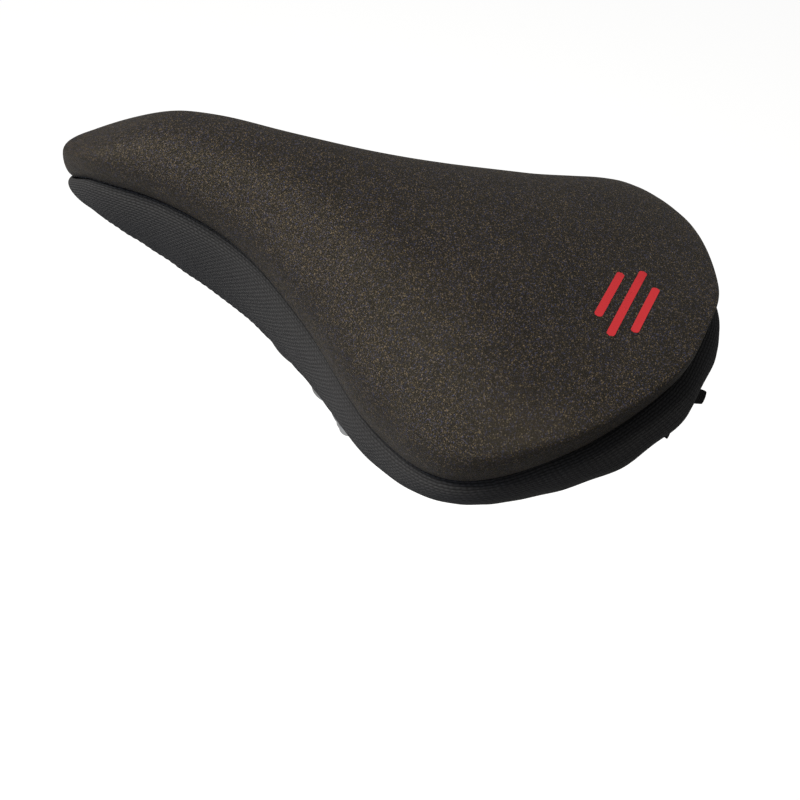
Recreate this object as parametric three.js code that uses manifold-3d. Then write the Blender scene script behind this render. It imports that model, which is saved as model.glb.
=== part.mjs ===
// A bicycle saddle in a slip-on gel cover, on its rails and its straight-post seat clip.
// Millimetres. The origin is the centre of the clip band's bore at its lower rim.
// +X runs to the nose, +Y to the rider's left, +Z up the seat post.

import * as THREE from 'three';
import { mergeVertices } from 'three/addons/utils/BufferGeometryUtils.js';
import Module from 'manifold-3d';

const wasm = await Module();
wasm.setup();

// --- Driving dimensions -------------------------------------------------------------------

// The cover's seam line, from the rear centre to the nose tip, on the left half:
// distance from the seat post, half width, seam height, skirt depth, hem inset.
const STATIONS = [
  [-150.5, 0.0, 91.0, 33.0, 16.0],
  [-147.0, 34.0, 88.5, 33.0, 17.0],
  [-125.0, 80.0, 82.5, 31.0, 20.0],
  [-91.0, 104.0, 72.0, 22.0, 24.0],
  [-50.0, 85.5, 64.0, 30.0, 23.0],
  [-2.0, 51.0, 73.0, 42.0, 18.0],
  [40.0, 30.5, 83.0, 44.0, 12.0],
  [81.0, 23.0, 87.5, 38.0, 8.5],
  [122.0, 17.0, 82.0, 24.0, 9.0],
  [145.0, 0.0, 68.5, 13.5, 19.0],
];
const SAMPLES_PER_SPAN = 2;

// Height of the cover's centre line at even steps from the rear to the nose.
const CROWN_START = -130;
const CROWN_STEP = 45;
const CROWN_HEIGHTS = [102.5, 108, 111.5, 115, 116.5, 112.5, 96];
const CROWN_POWER = 2.35;

const HUB_REAR = -91;
const HUB_NOSE = 96;
const HUB_SOFTNESS = 8;

const BULGE = 4.8;
const BULGE_RISE = 10;
const SKIRT_BELLY = 2;
const REAR_BELLY = 19;
const REAR_SAG = -3;
const REAR_START = -115;
const REAR_LENGTH = 30;
const NOSE_BELLY = 6;
const NOSE_START = 118;
const NOSE_LENGTH = 27;

// Faces of the padded layers, outer then inner: inset from the cover's side, drop under its
// crown, and sink of the shoulder between the two.
const PANEL = [{ inset: 0, drop: 0, sink: 0 }, { inset: 1.2, drop: 1.2, sink: 1.2 }];
const GEL = [{ inset: 1.5, drop: 1.5, sink: 1.5 }, { inset: 3.5, drop: 9.5, sink: 3.5 }];
const LINING = [{ inset: 3.8, drop: 9.8, sink: 3.8 }, { inset: 4.5, drop: 10.5, sink: 4.5 }];
const SKIN = [{ inset: 5.3, drop: 11, sink: 5.3 }, { inset: 6.3, drop: 12, sink: 6.3 }];
const FOAM_TOP = { inset: 8.3, drop: 13.4, sink: 7.6 };

const BASE_WALL = 2.4;
const BASE_INSET = 7.5;
const BASE_DROP = 36;
const BASE_END_DROP = 26;
const BASE_MIDDLE = 5;
const BASE_END_START = 65;
const BASE_END_FULL = 130;
const BASE_RIM = 0.3;
const BASE_FOOT = 0.58;
const SKIN_WALL_INSET = 6;
const SKIN_FOLD = 0.45;
const FIT_GAP = 0.35;
const RIB_DEPTH = 5;
const RIB_WIDTH = 2.4;
const RIB_LINES = [-16, 16];
const RIB_CROSSINGS = [-90, -48, -6];
const RIB_ENDS = [-125, 52];
const RIB_REACH = 80;
const RIB_LOW = 40;
const RIB_HIGH = 110;
const RIB_ROOT = 0.6;
const RIB_EDGE_GAP = 2;

const SKIRT_THICKNESS = 0.9;
const CHANNEL_PLACE = 0.92;
const CHANNEL_RADIUS = 2.6;
const CHANNEL_BORE = 1.95;
const CHANNEL_SIDES = 8;
const HEM_OPENING = 15;
const HEM_OPENING_HEIGHT = 9;
const HEM_OPENING_DROP = 2;
const HEM_OPENING_DEPTH = 16;

const CORD_RADIUS = 1.15;
const CORD_SPACING = 1.7;
const CORD_SIDES = 6;
const CORD_LEAD = [-100, -118, -125];
const CORD_SPREAD = [0.2, 0.5];

const RAIL_RADIUS = 3.5;
const RAIL_SIDES = 8;
const RAIL_Y = 22;
const RAIL_Z = 27;
const RAIL_GAP = 0.4;
const RAIL_STEPS = 34;

// The left rail's middle line, from the nose socket back to the rear one.
const RAIL_ROUTE = [
  [84, 7, 68],
  [77, 7.2, 63.5],
  [66, 8, 57.5],
  [54, 9.5, 50.5],
  [42, 12, 43.2],
  [31, 16, 35.6],
  [21, 20.2, 29.2],
  [12, RAIL_Y, RAIL_Z],
  [4, RAIL_Y, RAIL_Z],
  [-52, RAIL_Y, RAIL_Z],
  [-60, RAIL_Y, RAIL_Z],
  [-72, 24.5, 30.5],
  [-86, 30, 41],
  [-99, 36, 54.5],
  [-110, 41, 68],
];

// Corners of the sockets that hold the rails' ends.
const NOSE_SOCKET = [74, 90, -11, 11, 58, 76];
const REAR_SOCKET = [-119, -100, 33, 49, 57, 75.5];

const BAND_BORE_RADIUS = 11.15;
const BAND_RADIUS = 13.8;
const BAND_HEIGHT = 28;
const BAND_SPLIT = 2.4;
const CLAMP_X = -21;
const CLAMP_Z = 14;
const EAR_RADIUS = 12.5;
const EAR_FACE = 5.4;
const EAR_OVERLAP = 2;
const BAND_CHAMFER = 0.6;
const TOOTH_TIP = 12.4;
const TOOTH_HEIGHT = 1.3;
const TOOTH_COUNT = 16;
const TOOTH_RADIUS = 12;
const CHEEK_TIP = 12.7;
const CHEEK_RADIUS = 14;
const CHEEK_HALF_LENGTH = 17;
const CHEEK_TOP = 33.5;
const CHEEK_CORNER = 3;
const JAW_FOOT = 21;
const TOOTH_BASE = 1.6;
const RELIEF_RADIUS = 9;
const RELIEF_DEPTH = 5;
const OUTER_CHEEK_FACE = 28;
const STUD_RADIUS = 4;
const STUD_BORE = 4.4;
const STUD_HALF_LENGTH = 41;
const STUD_CHAMFER = 0.8;
const WASHER_RADIUS = 8.5;
const WASHER_THICKNESS = 1.6;
const NUT_RADIUS = 7.5;
const NUT_THICKNESS = 6.5;

const LOCK_X = -114;
const LOCK_Z = 50;
const LOCK_RADIUS = 7;
const LOCK_BORE = 5.3;
const LOCK_TOP = 61;
const LOCK_FOOT = 44;
const LOCK_ROOF = 1.6;
const WINDOW_HALF_WIDTH = 3.4;
const WINDOW_HALF_HEIGHT = 1.7;
const SLOT_HALF_WIDTH = 3.3;
const SLOT_HALF_HEIGHT = 1.6;
const BUTTON_RADIUS = 4.95;
const BUTTON_FOOT = 40;
const BUTTON_TOP = 53.2;
const BUTTON_TRAVEL = 2.6;
const SPRING_RADIUS = 3.4;
const SPRING_WIRE = 0.4;
const SPRING_TURNS = 2.5;
const SPRING_GAP = 0.3;
const SPRING_POINTS = 24;
const SPRING_SIDES = 5;
const SPRING_STEPS = 30;
const KNOT_X = -93.5;
const KNOT_RADIUS = 3.4;

// --- Helpers ------------------------------------------------------------------------------

function catmull(points, index, t) {
  const pick = (k) => points[(index + k + points.length) % points.length];
  return points[index].map((_, c) => {
    const [a, b, d, e] = [pick(-1)[c], pick(0)[c], pick(1)[c], pick(2)[c]];
    return 0.5 * (2 * b + (d - a) * t + (2 * a - 5 * b + 4 * d - e) * t * t
      + (3 * b - a - 3 * d + e) * t * t * t);
  });
}

function crownHeight(x) {
  const last = CROWN_HEIGHTS.length - 1;
  const place = THREE.MathUtils.clamp((x - CROWN_START) / CROWN_STEP, 0, last - 1e-9);
  const k = Math.floor(place);
  const at = (i) => [CROWN_HEIGHTS[THREE.MathUtils.clamp(i, 0, last)]];
  return catmull([at(k - 1), at(k), at(k + 1), at(k + 2)], 1, place - k)[0];
}

function softLimit(x, low, high) {
  const soft = (d) => HUB_SOFTNESS * Math.log1p(Math.exp(d / HUB_SOFTNESS));
  return high - soft(high - (low + soft(x - low)));
}

// Sections of the saddle: each stands in the upright plane from the hub line out to the seam.
function outlineSections(perSpan) {
  const mirrored = STATIONS.slice(1, -1).reverse().map(([x, y, ...rest]) => [x, -y, ...rest]);
  const loop = [...STATIONS, ...mirrored];
  const sections = [];
  for (let i = 0; i < loop.length; i += 1) {
    for (let j = 0; j < perSpan; j += 1) {
      const [x, y, seam, depth, inset] = catmull(loop, i, j / perSpan);
      const hubX = softLimit(x, HUB_REAR, HUB_NOSE);
      const reach = Math.hypot(x - hubX, y);
      const rear = THREE.MathUtils.smoothstep(REAR_START - x, 0, REAR_LENGTH);
      const nose = THREE.MathUtils.smoothstep(x - NOSE_START, 0, NOSE_LENGTH);
      sections.push({
        seam, depth, inset, hubX, reach,
        dx: (x - hubX) / reach,
        dy: y / reach,
        belly: SKIRT_BELLY + REAR_BELLY * rear + NOSE_BELLY * nose,
        sag: REAR_SAG * rear - 0.1 * inset,
      });
    }
  }
  return sections;
}

const SECTIONS = outlineSections(SAMPLES_PER_SPAN);

function place(section, reach, height) {
  return [section.hubX + section.dx * reach, section.dy * reach, height];
}

function orient(positions, faces) {
  let volume = 0;
  const a = new THREE.Vector3();
  const b = new THREE.Vector3();
  const c = new THREE.Vector3();
  for (const [i, j, k] of faces) {
    a.fromArray(positions, 3 * i);
    b.fromArray(positions, 3 * j);
    c.fromArray(positions, 3 * k);
    volume += a.dot(b.cross(c));
  }
  return volume > 0 ? faces : faces.map(([i, j, k]) => [i, k, j]);
}

function geometryFrom(points, faces) {
  const loose = new THREE.BufferGeometry();
  loose.setAttribute('position', new THREE.Float32BufferAttribute(points.flat(), 3));
  loose.setIndex(faces.flat());
  const merged = mergeVertices(loose, 1e-3);
  const index = merged.getIndex().array;
  const kept = [];
  for (let i = 0; i < index.length; i += 3) {
    const face = [index[i], index[i + 1], index[i + 2]];
    if (new Set(face).size === 3) kept.push(face);
  }
  merged.setIndex(orient(merged.getAttribute('position').array, kept).flat());
  return merged;
}

function reachOf(section, [x, y]) {
  return (x - section.hubX) * section.dx + y * section.dy;
}

// Skins a solid over one ring of section outlines. Each face is split from its outer corner on
// the rear section to its inner corner on the next, so that nested layers fold alike. An
// outline that starts and ends on the hub line closes there by itself; a closed outline is
// joined end to end.
function roundSolid(outlineOf, closedOutline = false, sections = SECTIONS) {
  const rings = sections.map((section) => outlineOf(section));
  const size = rings[0].length;
  const points = rings.flat();
  const faces = [];
  const across = closedOutline ? size : size - 1;
  for (let i = 0; i < rings.length; i += 1) {
    const leftHalf = 2 * i < rings.length;
    for (let k = 0; k < across; k += 1) {
      const after = (k + 1) % size;
      const a = i * size + k;
      const b = i * size + after;
      const c = ((i + 1) % rings.length) * size + k;
      const d = ((i + 1) % rings.length) * size + after;
      const inward = reachOf(sections[i], rings[i][k]) > reachOf(sections[i], rings[i][after]);
      if (inward === leftHalf) faces.push([a, c, d], [a, d, b]);
      else faces.push([a, c, b], [b, c, d]);
    }
  }
  return geometryFrom(points, faces);
}

function toManifold(geometry) {
  const bare = geometry.clone();
  bare.deleteAttribute('normal');
  bare.deleteAttribute('uv');
  const merged = mergeVertices(bare, 1e-4);
  return new wasm.Manifold(new wasm.Mesh({
    numProp: 3,
    vertProperties: merged.getAttribute('position').array,
    triVerts: new Uint32Array(merged.getIndex().array),
  }));
}

function fromManifold(solid) {
  const mesh = solid.getMesh();
  const geometry = new THREE.BufferGeometry();
  geometry.setAttribute('position', new THREE.Float32BufferAttribute(mesh.vertProperties, 3));
  geometry.setIndex(Array.from(mesh.triVerts));
  return geometry;
}

function joined(geometries) {
  return geometries.map(toManifold).reduce((sum, next) => sum.add(next));
}

function cut(geometry, tools) {
  return fromManifold(toManifold(geometry).subtract(joined(tools)));
}

function mirroredRight(geometry) {
  const copy = geometry.index ? geometry.toNonIndexed() : geometry.clone();
  copy.deleteAttribute('normal');
  copy.deleteAttribute('uv');
  const p = copy.getAttribute('position').array;
  const triangle = 9;
  for (let i = 0; i < p.length; i += triangle) {
    for (let c = 0; c < 3; c += 1) {
      [p[i + 3 + c], p[i + 6 + c]] = [p[i + 6 + c], p[i + 3 + c]];
    }
    for (let v = 0; v < 3; v += 1) p[i + 3 * v + 1] *= -1;
  }
  return mergeVertices(copy, 1e-4);
}

function box(x0, x1, y0, y1, z0, z1) {
  const geometry = new THREE.BoxGeometry(x1 - x0, y1 - y0, z1 - z0);
  return geometry.translate((x0 + x1) / 2, (y0 + y1) / 2, (z0 + z1) / 2);
}

// A flat outline drawn in X and Z, given a thickness from y0 to y1.
function plateAcross(shape, y0, y1, curveSegments = 10) {
  const options = { depth: y1 - y0, bevelEnabled: false, curveSegments };
  return new THREE.ExtrudeGeometry(shape, options).rotateX(Math.PI / 2).translate(0, y1, 0);
}

function rodAcross(radius, y0, y1, sides, x = CLAMP_X, z = CLAMP_Z) {
  const rod = new THREE.CylinderGeometry(radius, radius, y1 - y0, sides);
  return rod.translate(x, (y0 + y1) / 2, z);
}

function ringAcross(inner, outer, y0, y1, sides) {
  return cut(rodAcross(outer, y0, y1, sides), [rodAcross(inner, y0 - 1, y1 + 1, sides)]);
}

// A path whose even steps fall on its own points, with straight runs between them.
class PointPath extends THREE.Curve {
  constructor(points) {
    super();
    this.points = points;
  }

  getPointAt(u, target = new THREE.Vector3()) {
    const place = u * (this.points.length - 1);
    const k = Math.min(Math.floor(place), this.points.length - 2);
    return target.lerpVectors(this.points[k], this.points[k + 1], place - k);
  }

  getTangentAt(u, target = new THREE.Vector3()) {
    const last = this.points.length - 1;
    const k = Math.round(u * last);
    const before = this.points[Math.max(k - 1, 0)];
    return target.subVectors(this.points[Math.min(k + 1, last)], before).normalize();
  }
}

function roundTube(path, radius, sides, steps) {
  const shape = new THREE.Shape();
  for (let i = 0; i < sides; i += 1) {
    const angle = (i * 2 * Math.PI) / sides;
    shape[i ? 'lineTo' : 'moveTo'](radius * Math.cos(angle), radius * Math.sin(angle));
  }
  shape.closePath();
  return new THREE.ExtrudeGeometry(shape, { steps, bevelEnabled: false, extrudePath: path });
}

// --- Padded top ---------------------------------------------------------------------------

const QUARTER = Math.PI / 2;
const CROWN_ANGLES = [0, 0.2, 0.44, 0.72, 1].map((t) => t * QUARTER);
const BULGE_ANGLES = [0, 0.5].map((t) => t * QUARTER);

function bulgePoint(section, angle, { inset, sink }) {
  const reach = section.reach - inset + BULGE * Math.sin(angle);
  return place(section, reach, section.seam + (BULGE_RISE - sink) * (1 - Math.cos(angle)));
}

// A dome from an edge at the given reach and height up to a centre line of its own.
function domePoint(section, angle, reach, edge, centreHeight) {
  const [x, y] = place(section, reach * Math.cos(angle) ** (2 / CROWN_POWER), 0);
  const rise = Math.sin(angle) ** (2 / CROWN_POWER);
  return [x, y, edge + (centreHeight(x) - edge) * rise];
}

function crownPoint(section, angle, { inset, drop, sink }) {
  const edge = section.seam + BULGE_RISE - sink;
  const reach = section.reach + BULGE - inset;
  return domePoint(section, angle, reach, edge, (x) => crownHeight(x) - drop);
}

function topFace(section, face, bulgeAngles) {
  return [
    ...bulgeAngles.map((angle) => bulgePoint(section, angle, face)),
    ...CROWN_ANGLES.map((angle) => crownPoint(section, angle, face)),
  ];
}

function domeLayer([outer, inner], bulgeAngles) {
  return roundSolid((section) => [
    ...topFace(section, outer, bulgeAngles).reverse(),
    ...topFace(section, inner, bulgeAngles),
  ]);
}

function coverTopPanel() {
  return domeLayer(PANEL, BULGE_ANGLES);
}

function gelPad() {
  return domeLayer(GEL, [0.5 * QUARTER]);
}

function coverLining() {
  return domeLayer(LINING, [0.5 * QUARTER]);
}

// --- Saddle inside the cover --------------------------------------------------------------

function foot(section) {
  return section.seam - BASE_FOOT * section.depth;
}

function saddleSkin() {
  const [outerFace, innerFace] = SKIN;
  const wall = innerFace.inset - outerFace.inset;
  return roundSolid((section) => {
    const low = foot(section) - FIT_GAP;
    const outer = section.reach - SKIN_WALL_INSET;
    const inner = section.reach - BASE_INSET - BASE_WALL - FIT_GAP;
    const foldTop = low + SKIN_FOLD * (baseEdge(section) - BASE_WALL - low);
    return [
      ...topFace(section, outerFace, [0]).reverse(),
      place(section, outer, low - wall),
      place(section, inner - wall, low - wall),
      place(section, inner - wall, foldTop),
      place(section, inner, foldTop),
      place(section, inner, low),
      place(section, outer - wall, low),
      ...topFace(section, innerFace, [0]),
    ];
  });
}

function baseEdge(section) {
  return section.seam - BASE_RIM * section.depth;
}

function baseHeight(x) {
  const end = THREE.MathUtils.smoothstep(Math.abs(x - BASE_MIDDLE), BASE_END_START, BASE_END_FULL);
  return crownHeight(x) - THREE.MathUtils.lerp(BASE_DROP, BASE_END_DROP, end);
}

// A surface that follows the base's upper face, moved in by an inset and down by a step.
function baseSurface(section, inset, down) {
  const reach = section.reach - inset;
  const edge = baseEdge(section) - down;
  const centre = (x) => baseHeight(x) - down;
  return CROWN_ANGLES.map((angle) => domePoint(section, angle, reach, edge, centre));
}

function foamPad() {
  return roundSolid((section) => [
    ...topFace(section, FOAM_TOP, [0]).reverse(),
    ...baseSurface(section, BASE_INSET - FIT_GAP, -FIT_GAP),
  ]);
}

function basePlate() {
  return roundSolid((section) => [
    ...baseSurface(section, BASE_INSET, 0).reverse(),
    place(section, section.reach - BASE_INSET, foot(section)),
    place(section, section.reach - BASE_INSET - BASE_WALL, foot(section)),
    ...baseSurface(section, BASE_INSET + BASE_WALL, BASE_WALL),
  ]);
}

function ribVolume() {
  const from = BASE_WALL - RIB_ROOT;
  const inset = BASE_INSET + BASE_WALL + RIB_EDGE_GAP;
  return roundSolid((section) => [
    ...baseSurface(section, inset, from).reverse(),
    ...baseSurface(section, inset, from + RIB_DEPTH),
  ]);
}

function baseRibs() {
  const half = RIB_WIDTH / 2;
  const [low, high] = [RIB_LOW, RIB_HIGH];
  const lengthwise = RIB_LINES.map((y) => box(...RIB_ENDS, y - half, y + half, low, high));
  const crosswise = RIB_CROSSINGS.map((x) => (
    box(x - half, x + half, -RIB_REACH, RIB_REACH, low, high)
  ));
  return toManifold(ribVolume()).intersect(joined([...lengthwise, ...crosswise]));
}

function railTube(radius) {
  const route = RAIL_ROUTE.map(([x, y, z]) => new THREE.Vector3(x, y, z));
  return roundTube(new THREE.CatmullRomCurve3(route), radius, RAIL_SIDES, RAIL_STEPS);
}

function saddleBase() {
  const noseSocket = box(...NOSE_SOCKET);
  const rearSocket = box(...REAR_SOCKET);
  const solids = joined([noseSocket, rearSocket, mirroredRight(rearSocket)]);
  const hollow = railTube(RAIL_RADIUS + RAIL_GAP);
  const bores = joined([hollow, mirroredRight(hollow)]);
  return fromManifold(toManifold(basePlate()).add(baseRibs()).add(solids).subtract(bores));
}

// --- Cover skirt and its drawcord ---------------------------------------------------------

// The skirt falls from the seam and curls under the saddle; t runs from 0 at the seam to 1.
function skirtCurve({ depth, inset, belly, sag }, t) {
  const s = 1 - t;
  const [b1, b2, b3] = [3 * t * s * s, 3 * t * t * s, t * t * t];
  return [
    b1 * belly + b2 * sag - b3 * inset,
    -b1 * 0.4 * depth - b2 * depth - b3 * (depth - 1),
  ];
}

function skirtPoint(section, t, under) {
  const step = 1e-3;
  const [r0, z0] = skirtCurve(section, t - step);
  const [r1, z1] = skirtCurve(section, t + step);
  const length = Math.hypot(r1 - r0, z1 - z0);
  const [r, z] = skirtCurve(section, t);
  const [nr, nz] = [(z1 - z0) / length, -(r1 - r0) / length];
  return [section.reach + r + nr * under, section.seam - FIT_GAP + z + nz * under];
}

function channelCentre(section) {
  return skirtPoint(section, CHANNEL_PLACE, CHANNEL_RADIUS);
}

function channelLoop(section, radius, first, last, count) {
  const [r, z] = channelCentre(section);
  const [ro, zo] = skirtPoint(section, CHANNEL_PLACE, 0);
  const start = Math.atan2(zo - z, ro - r);
  const points = [];
  for (let i = 0; i < count; i += 1) {
    const angle = start - THREE.MathUtils.lerp(first, last, i / (count - 1));
    points.push(place(section, r + radius * Math.cos(angle), z + radius * Math.sin(angle)));
  }
  return points;
}

function skirtSolid() {
  const outer = [0, 0.22, 0.45, 0.65, 0.8];
  const inner = [0.8, 0.65, 0.45, 0.22, 0];
  const at = (section, t, under) => place(section, ...skirtPoint(section, t, under));
  return roundSolid((section) => [
    ...outer.map((t) => at(section, t, 0)),
    ...channelLoop(section, CHANNEL_RADIUS, 0, 1.25 * Math.PI, 6),
    ...inner.map((t) => at(section, t, SKIRT_THICKNESS)),
  ], true);
}

function channelBore() {
  const turn = 2 * Math.PI;
  const sides = CHANNEL_SIDES;
  const last = turn - turn / sides;
  return roundSolid((section) => channelLoop(section, CHANNEL_BORE, 0, last, sides), true);
}

function coverSkirt() {
  const rear = SECTIONS[0];
  const [reach, height] = channelCentre(rear);
  const [x] = place(rear, reach, height);
  const half = HEM_OPENING / 2;
  const low = height - CHANNEL_RADIUS - HEM_OPENING_DROP;
  const [back, front] = [x - HEM_OPENING_DEPTH / 2, x + HEM_OPENING_DEPTH / 2];
  const opening = box(back, front, -half, half, low, low + HEM_OPENING_HEIGHT);
  return cut(skirtSolid(), [channelBore(), opening]);
}

function channelRoute() {
  return SECTIONS.map((section) => {
    const [reach, height] = channelCentre(section);
    return new THREE.Vector3(...place(section, reach, height));
  });
}

function elasticDrawcord() {
  const [rear, ...ring] = channelRoute();
  const lead = (side, start) => [
    ...[KNOT_X, ...CORD_LEAD].map((x) => new THREE.Vector3(x, side * CORD_SPACING, LOCK_Z)),
    ...CORD_SPREAD.map((share) => rear.clone().lerp(start, share)),
  ];
  const tail = lead(-1, ring.at(-1)).reverse();
  const path = new PointPath([...lead(1, ring[0]), ...ring, ...tail]);
  const cord = roundTube(path, CORD_RADIUS, CORD_SIDES, path.points.length - 1);
  const knot = new THREE.SphereGeometry(KNOT_RADIUS, 8, 6).translate(KNOT_X, 0, LOCK_Z);
  return fromManifold(joined([cord, knot]));
}

// --- Cord lock ----------------------------------------------------------------------------

function upright(radius, z0, z1, sides) {
  const rod = new THREE.CylinderGeometry(radius, radius, z1 - z0, sides);
  return rod.rotateX(Math.PI / 2).translate(LOCK_X, 0, (z0 + z1) / 2);
}

function cordLockBody() {
  const shell = upright(LOCK_RADIUS, LOCK_FOOT, LOCK_TOP, 20);
  const bore = upright(LOCK_BORE, LOCK_FOOT - 1, LOCK_TOP - LOCK_ROOF, 16);
  const [half, tall] = [WINDOW_HALF_WIDTH, WINDOW_HALF_HEIGHT];
  const [back, front] = [LOCK_X - LOCK_RADIUS - 2, LOCK_X + LOCK_RADIUS + 2];
  const window = box(back, front, -half, half, LOCK_Z - tall, LOCK_Z + tall);
  return cut(shell, [bore, window]);
}

function cordLockButton() {
  const stem = upright(BUTTON_RADIUS, BUTTON_FOOT, BUTTON_TOP, 16);
  const [half, tall] = [SLOT_HALF_WIDTH, SLOT_HALF_HEIGHT];
  const [back, front] = [LOCK_X - LOCK_RADIUS - 2, LOCK_X + LOCK_RADIUS + 2];
  const slot = box(back, front, -half, half, LOCK_Z - tall - BUTTON_TRAVEL, LOCK_Z + tall);
  return cut(stem, [slot]);
}

function cordLockSpring() {
  const foot = BUTTON_TOP + SPRING_WIRE + SPRING_GAP;
  const head = LOCK_TOP - LOCK_ROOF - SPRING_WIRE - SPRING_GAP;
  const points = [];
  const count = SPRING_POINTS;
  for (let i = 0; i <= count; i += 1) {
    const angle = (i / count) * SPRING_TURNS * 2 * Math.PI;
    points.push(new THREE.Vector3(
      LOCK_X + SPRING_RADIUS * Math.cos(angle),
      SPRING_RADIUS * Math.sin(angle),
      THREE.MathUtils.lerp(foot, head, i / count),
    ));
  }
  const coil = new THREE.CatmullRomCurve3(points);
  return roundTube(coil, SPRING_WIRE, SPRING_SIDES, SPRING_STEPS);
}

// --- Rails clamp and post clip ------------------------------------------------------------

// A ring of radial teeth round the stud; its tips stand at the given distance from the centre.
function toothedRing(tip, back, inner, outer) {
  const count = 2 * TOOTH_COUNT;
  const root = tip + Math.sign(back - tip) * TOOTH_HEIGHT;
  const points = [];
  for (let i = 0; i < count; i += 1) {
    const angle = (i * 2 * Math.PI) / count;
    const [c, s] = [Math.cos(angle), Math.sin(angle)];
    for (const radius of [inner, outer]) {
      for (const y of [i % 2 ? tip : root, back]) {
        points.push([CLAMP_X + radius * c, y, CLAMP_Z + radius * s]);
      }
    }
  }
  const faces = [];
  const quad = (a, b, c, d) => faces.push([a, b, c], [a, c, d]);
  for (let i = 0; i < count; i += 1) {
    const here = 4 * i;
    const next = 4 * ((i + 1) % count);
    quad(here, next, next + 2, here + 2);
    quad(here + 2, next + 2, next + 3, here + 3);
    quad(here + 3, next + 3, next + 1, here + 1);
    quad(here + 1, next + 1, next, here);
  }
  return geometryFrom(points, faces);
}

function earPlate() {
  const shape = new THREE.Shape();
  shape.moveTo(-BAND_RADIUS + EAR_OVERLAP, CLAMP_Z + EAR_RADIUS);
  shape.lineTo(CLAMP_X, CLAMP_Z + EAR_RADIUS);
  shape.absarc(CLAMP_X, CLAMP_Z, EAR_RADIUS, Math.PI / 2, 1.5 * Math.PI, false);
  shape.lineTo(-BAND_RADIUS + EAR_OVERLAP, CLAMP_Z - EAR_RADIUS);
  shape.closePath();
  return plateAcross(shape, BAND_SPLIT / 2, EAR_FACE);
}

function clipBand() {
  const profile = [
    [BAND_BORE_RADIUS, 0],
    [BAND_RADIUS - BAND_CHAMFER, 0],
    [BAND_RADIUS, BAND_CHAMFER],
    [BAND_RADIUS, BAND_HEIGHT - BAND_CHAMFER],
    [BAND_RADIUS - BAND_CHAMFER, BAND_HEIGHT],
    [BAND_BORE_RADIUS, BAND_HEIGHT],
    [BAND_BORE_RADIUS, 0],
  ].map(([r, z]) => new THREE.Vector2(r, z));
  const sides = 28;
  const band = new THREE.LatheGeometry(profile, sides).rotateX(Math.PI / 2);
  const ear = earPlate();
  const teeth = toothedRing(TOOTH_TIP, EAR_FACE - 0.5, STUD_BORE, TOOTH_RADIUS);
  const bore = new THREE.CylinderGeometry(BAND_BORE_RADIUS, BAND_BORE_RADIUS, 40, sides);
  bore.rotateX(Math.PI / 2).rotateZ(Math.PI / 2).translate(0, 0, CLAMP_Z);
  const split = box(-40, 0, -BAND_SPLIT / 2, BAND_SPLIT / 2, -5, 40);
  const stud = rodAcross(STUD_BORE, -12, 12, 16);
  const solid = joined([band, ear, mirroredRight(ear), teeth, mirroredRight(teeth)]);
  return fromManifold(solid.subtract(joined([bore, split, stud])));
}

// The cheek's outline: a round foot about the stud and a straight jaw along the rail.
function cheekShape() {
  const shape = new THREE.Shape();
  const corner = CHEEK_CORNER;
  const [rear, front] = [CLAMP_X - CHEEK_HALF_LENGTH, CLAMP_X + CHEEK_HALF_LENGTH];
  const swing = Math.asin((JAW_FOOT - CLAMP_Z) / CHEEK_RADIUS);
  shape.moveTo(front, JAW_FOOT);
  shape.lineTo(front, CHEEK_TOP - corner);
  shape.absarc(front - corner, CHEEK_TOP - corner, corner, 0, Math.PI / 2, false);
  shape.lineTo(rear + corner, CHEEK_TOP);
  shape.absarc(rear + corner, CHEEK_TOP - corner, corner, Math.PI / 2, Math.PI, false);
  shape.lineTo(rear, JAW_FOOT);
  shape.absarc(CLAMP_X, CLAMP_Z, CHEEK_RADIUS, Math.PI - swing, 2 * Math.PI + swing, false);
  shape.closePath();
  return shape;
}

function railGroove() {
  const groove = new THREE.CylinderGeometry(
    RAIL_RADIUS + RAIL_GAP, RAIL_RADIUS + RAIL_GAP, 60, 16,
  );
  return groove.rotateZ(Math.PI / 2).translate(CLAMP_X, RAIL_Y, RAIL_Z);
}

function innerCheek() {
  const back = CHEEK_TIP + TOOTH_BASE;
  const block = plateAcross(cheekShape(), back, RAIL_Y - FIT_GAP, 8);
  const teeth = toothedRing(CHEEK_TIP, back + 0.5, STUD_BORE, TOOTH_RADIUS);
  const relief = rodAcross(RELIEF_RADIUS, RAIL_Y - RELIEF_DEPTH, RAIL_Y + RELIEF_DEPTH, 20);
  const stud = rodAcross(STUD_BORE, 8, 30, 16);
  return fromManifold(joined([block, teeth]).subtract(joined([railGroove(), relief, stud])));
}

function outerCheek() {
  const block = plateAcross(cheekShape(), RAIL_Y + FIT_GAP, OUTER_CHEEK_FACE, 8);
  return cut(block, [railGroove(), rodAcross(STUD_BORE, 8, 40, 16)]);
}

function clampStud() {
  const end = STUD_HALF_LENGTH;
  const profile = [
    [0, -end],
    [STUD_RADIUS - STUD_CHAMFER, -end],
    [STUD_RADIUS, -end + STUD_CHAMFER],
    [STUD_RADIUS, end - STUD_CHAMFER],
    [STUD_RADIUS - STUD_CHAMFER, end],
    [0, end],
  ].map(([r, y]) => new THREE.Vector2(r, y));
  return new THREE.LatheGeometry(profile, 14).translate(CLAMP_X, 0, CLAMP_Z);
}

function clampWasher() {
  const from = OUTER_CHEEK_FACE + FIT_GAP;
  return ringAcross(STUD_BORE, WASHER_RADIUS, from, from + WASHER_THICKNESS, 20);
}

function clampNut() {
  const from = OUTER_CHEEK_FACE + 2 * FIT_GAP + WASHER_THICKNESS;
  const body = rodAcross(NUT_RADIUS, from, from + NUT_THICKNESS, 6);
  return cut(body, [rodAcross(STUD_RADIUS + FIT_GAP, from - 1, from + NUT_THICKNESS + 1, 14)]);
}

// --- Assembly -----------------------------------------------------------------------------

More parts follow.
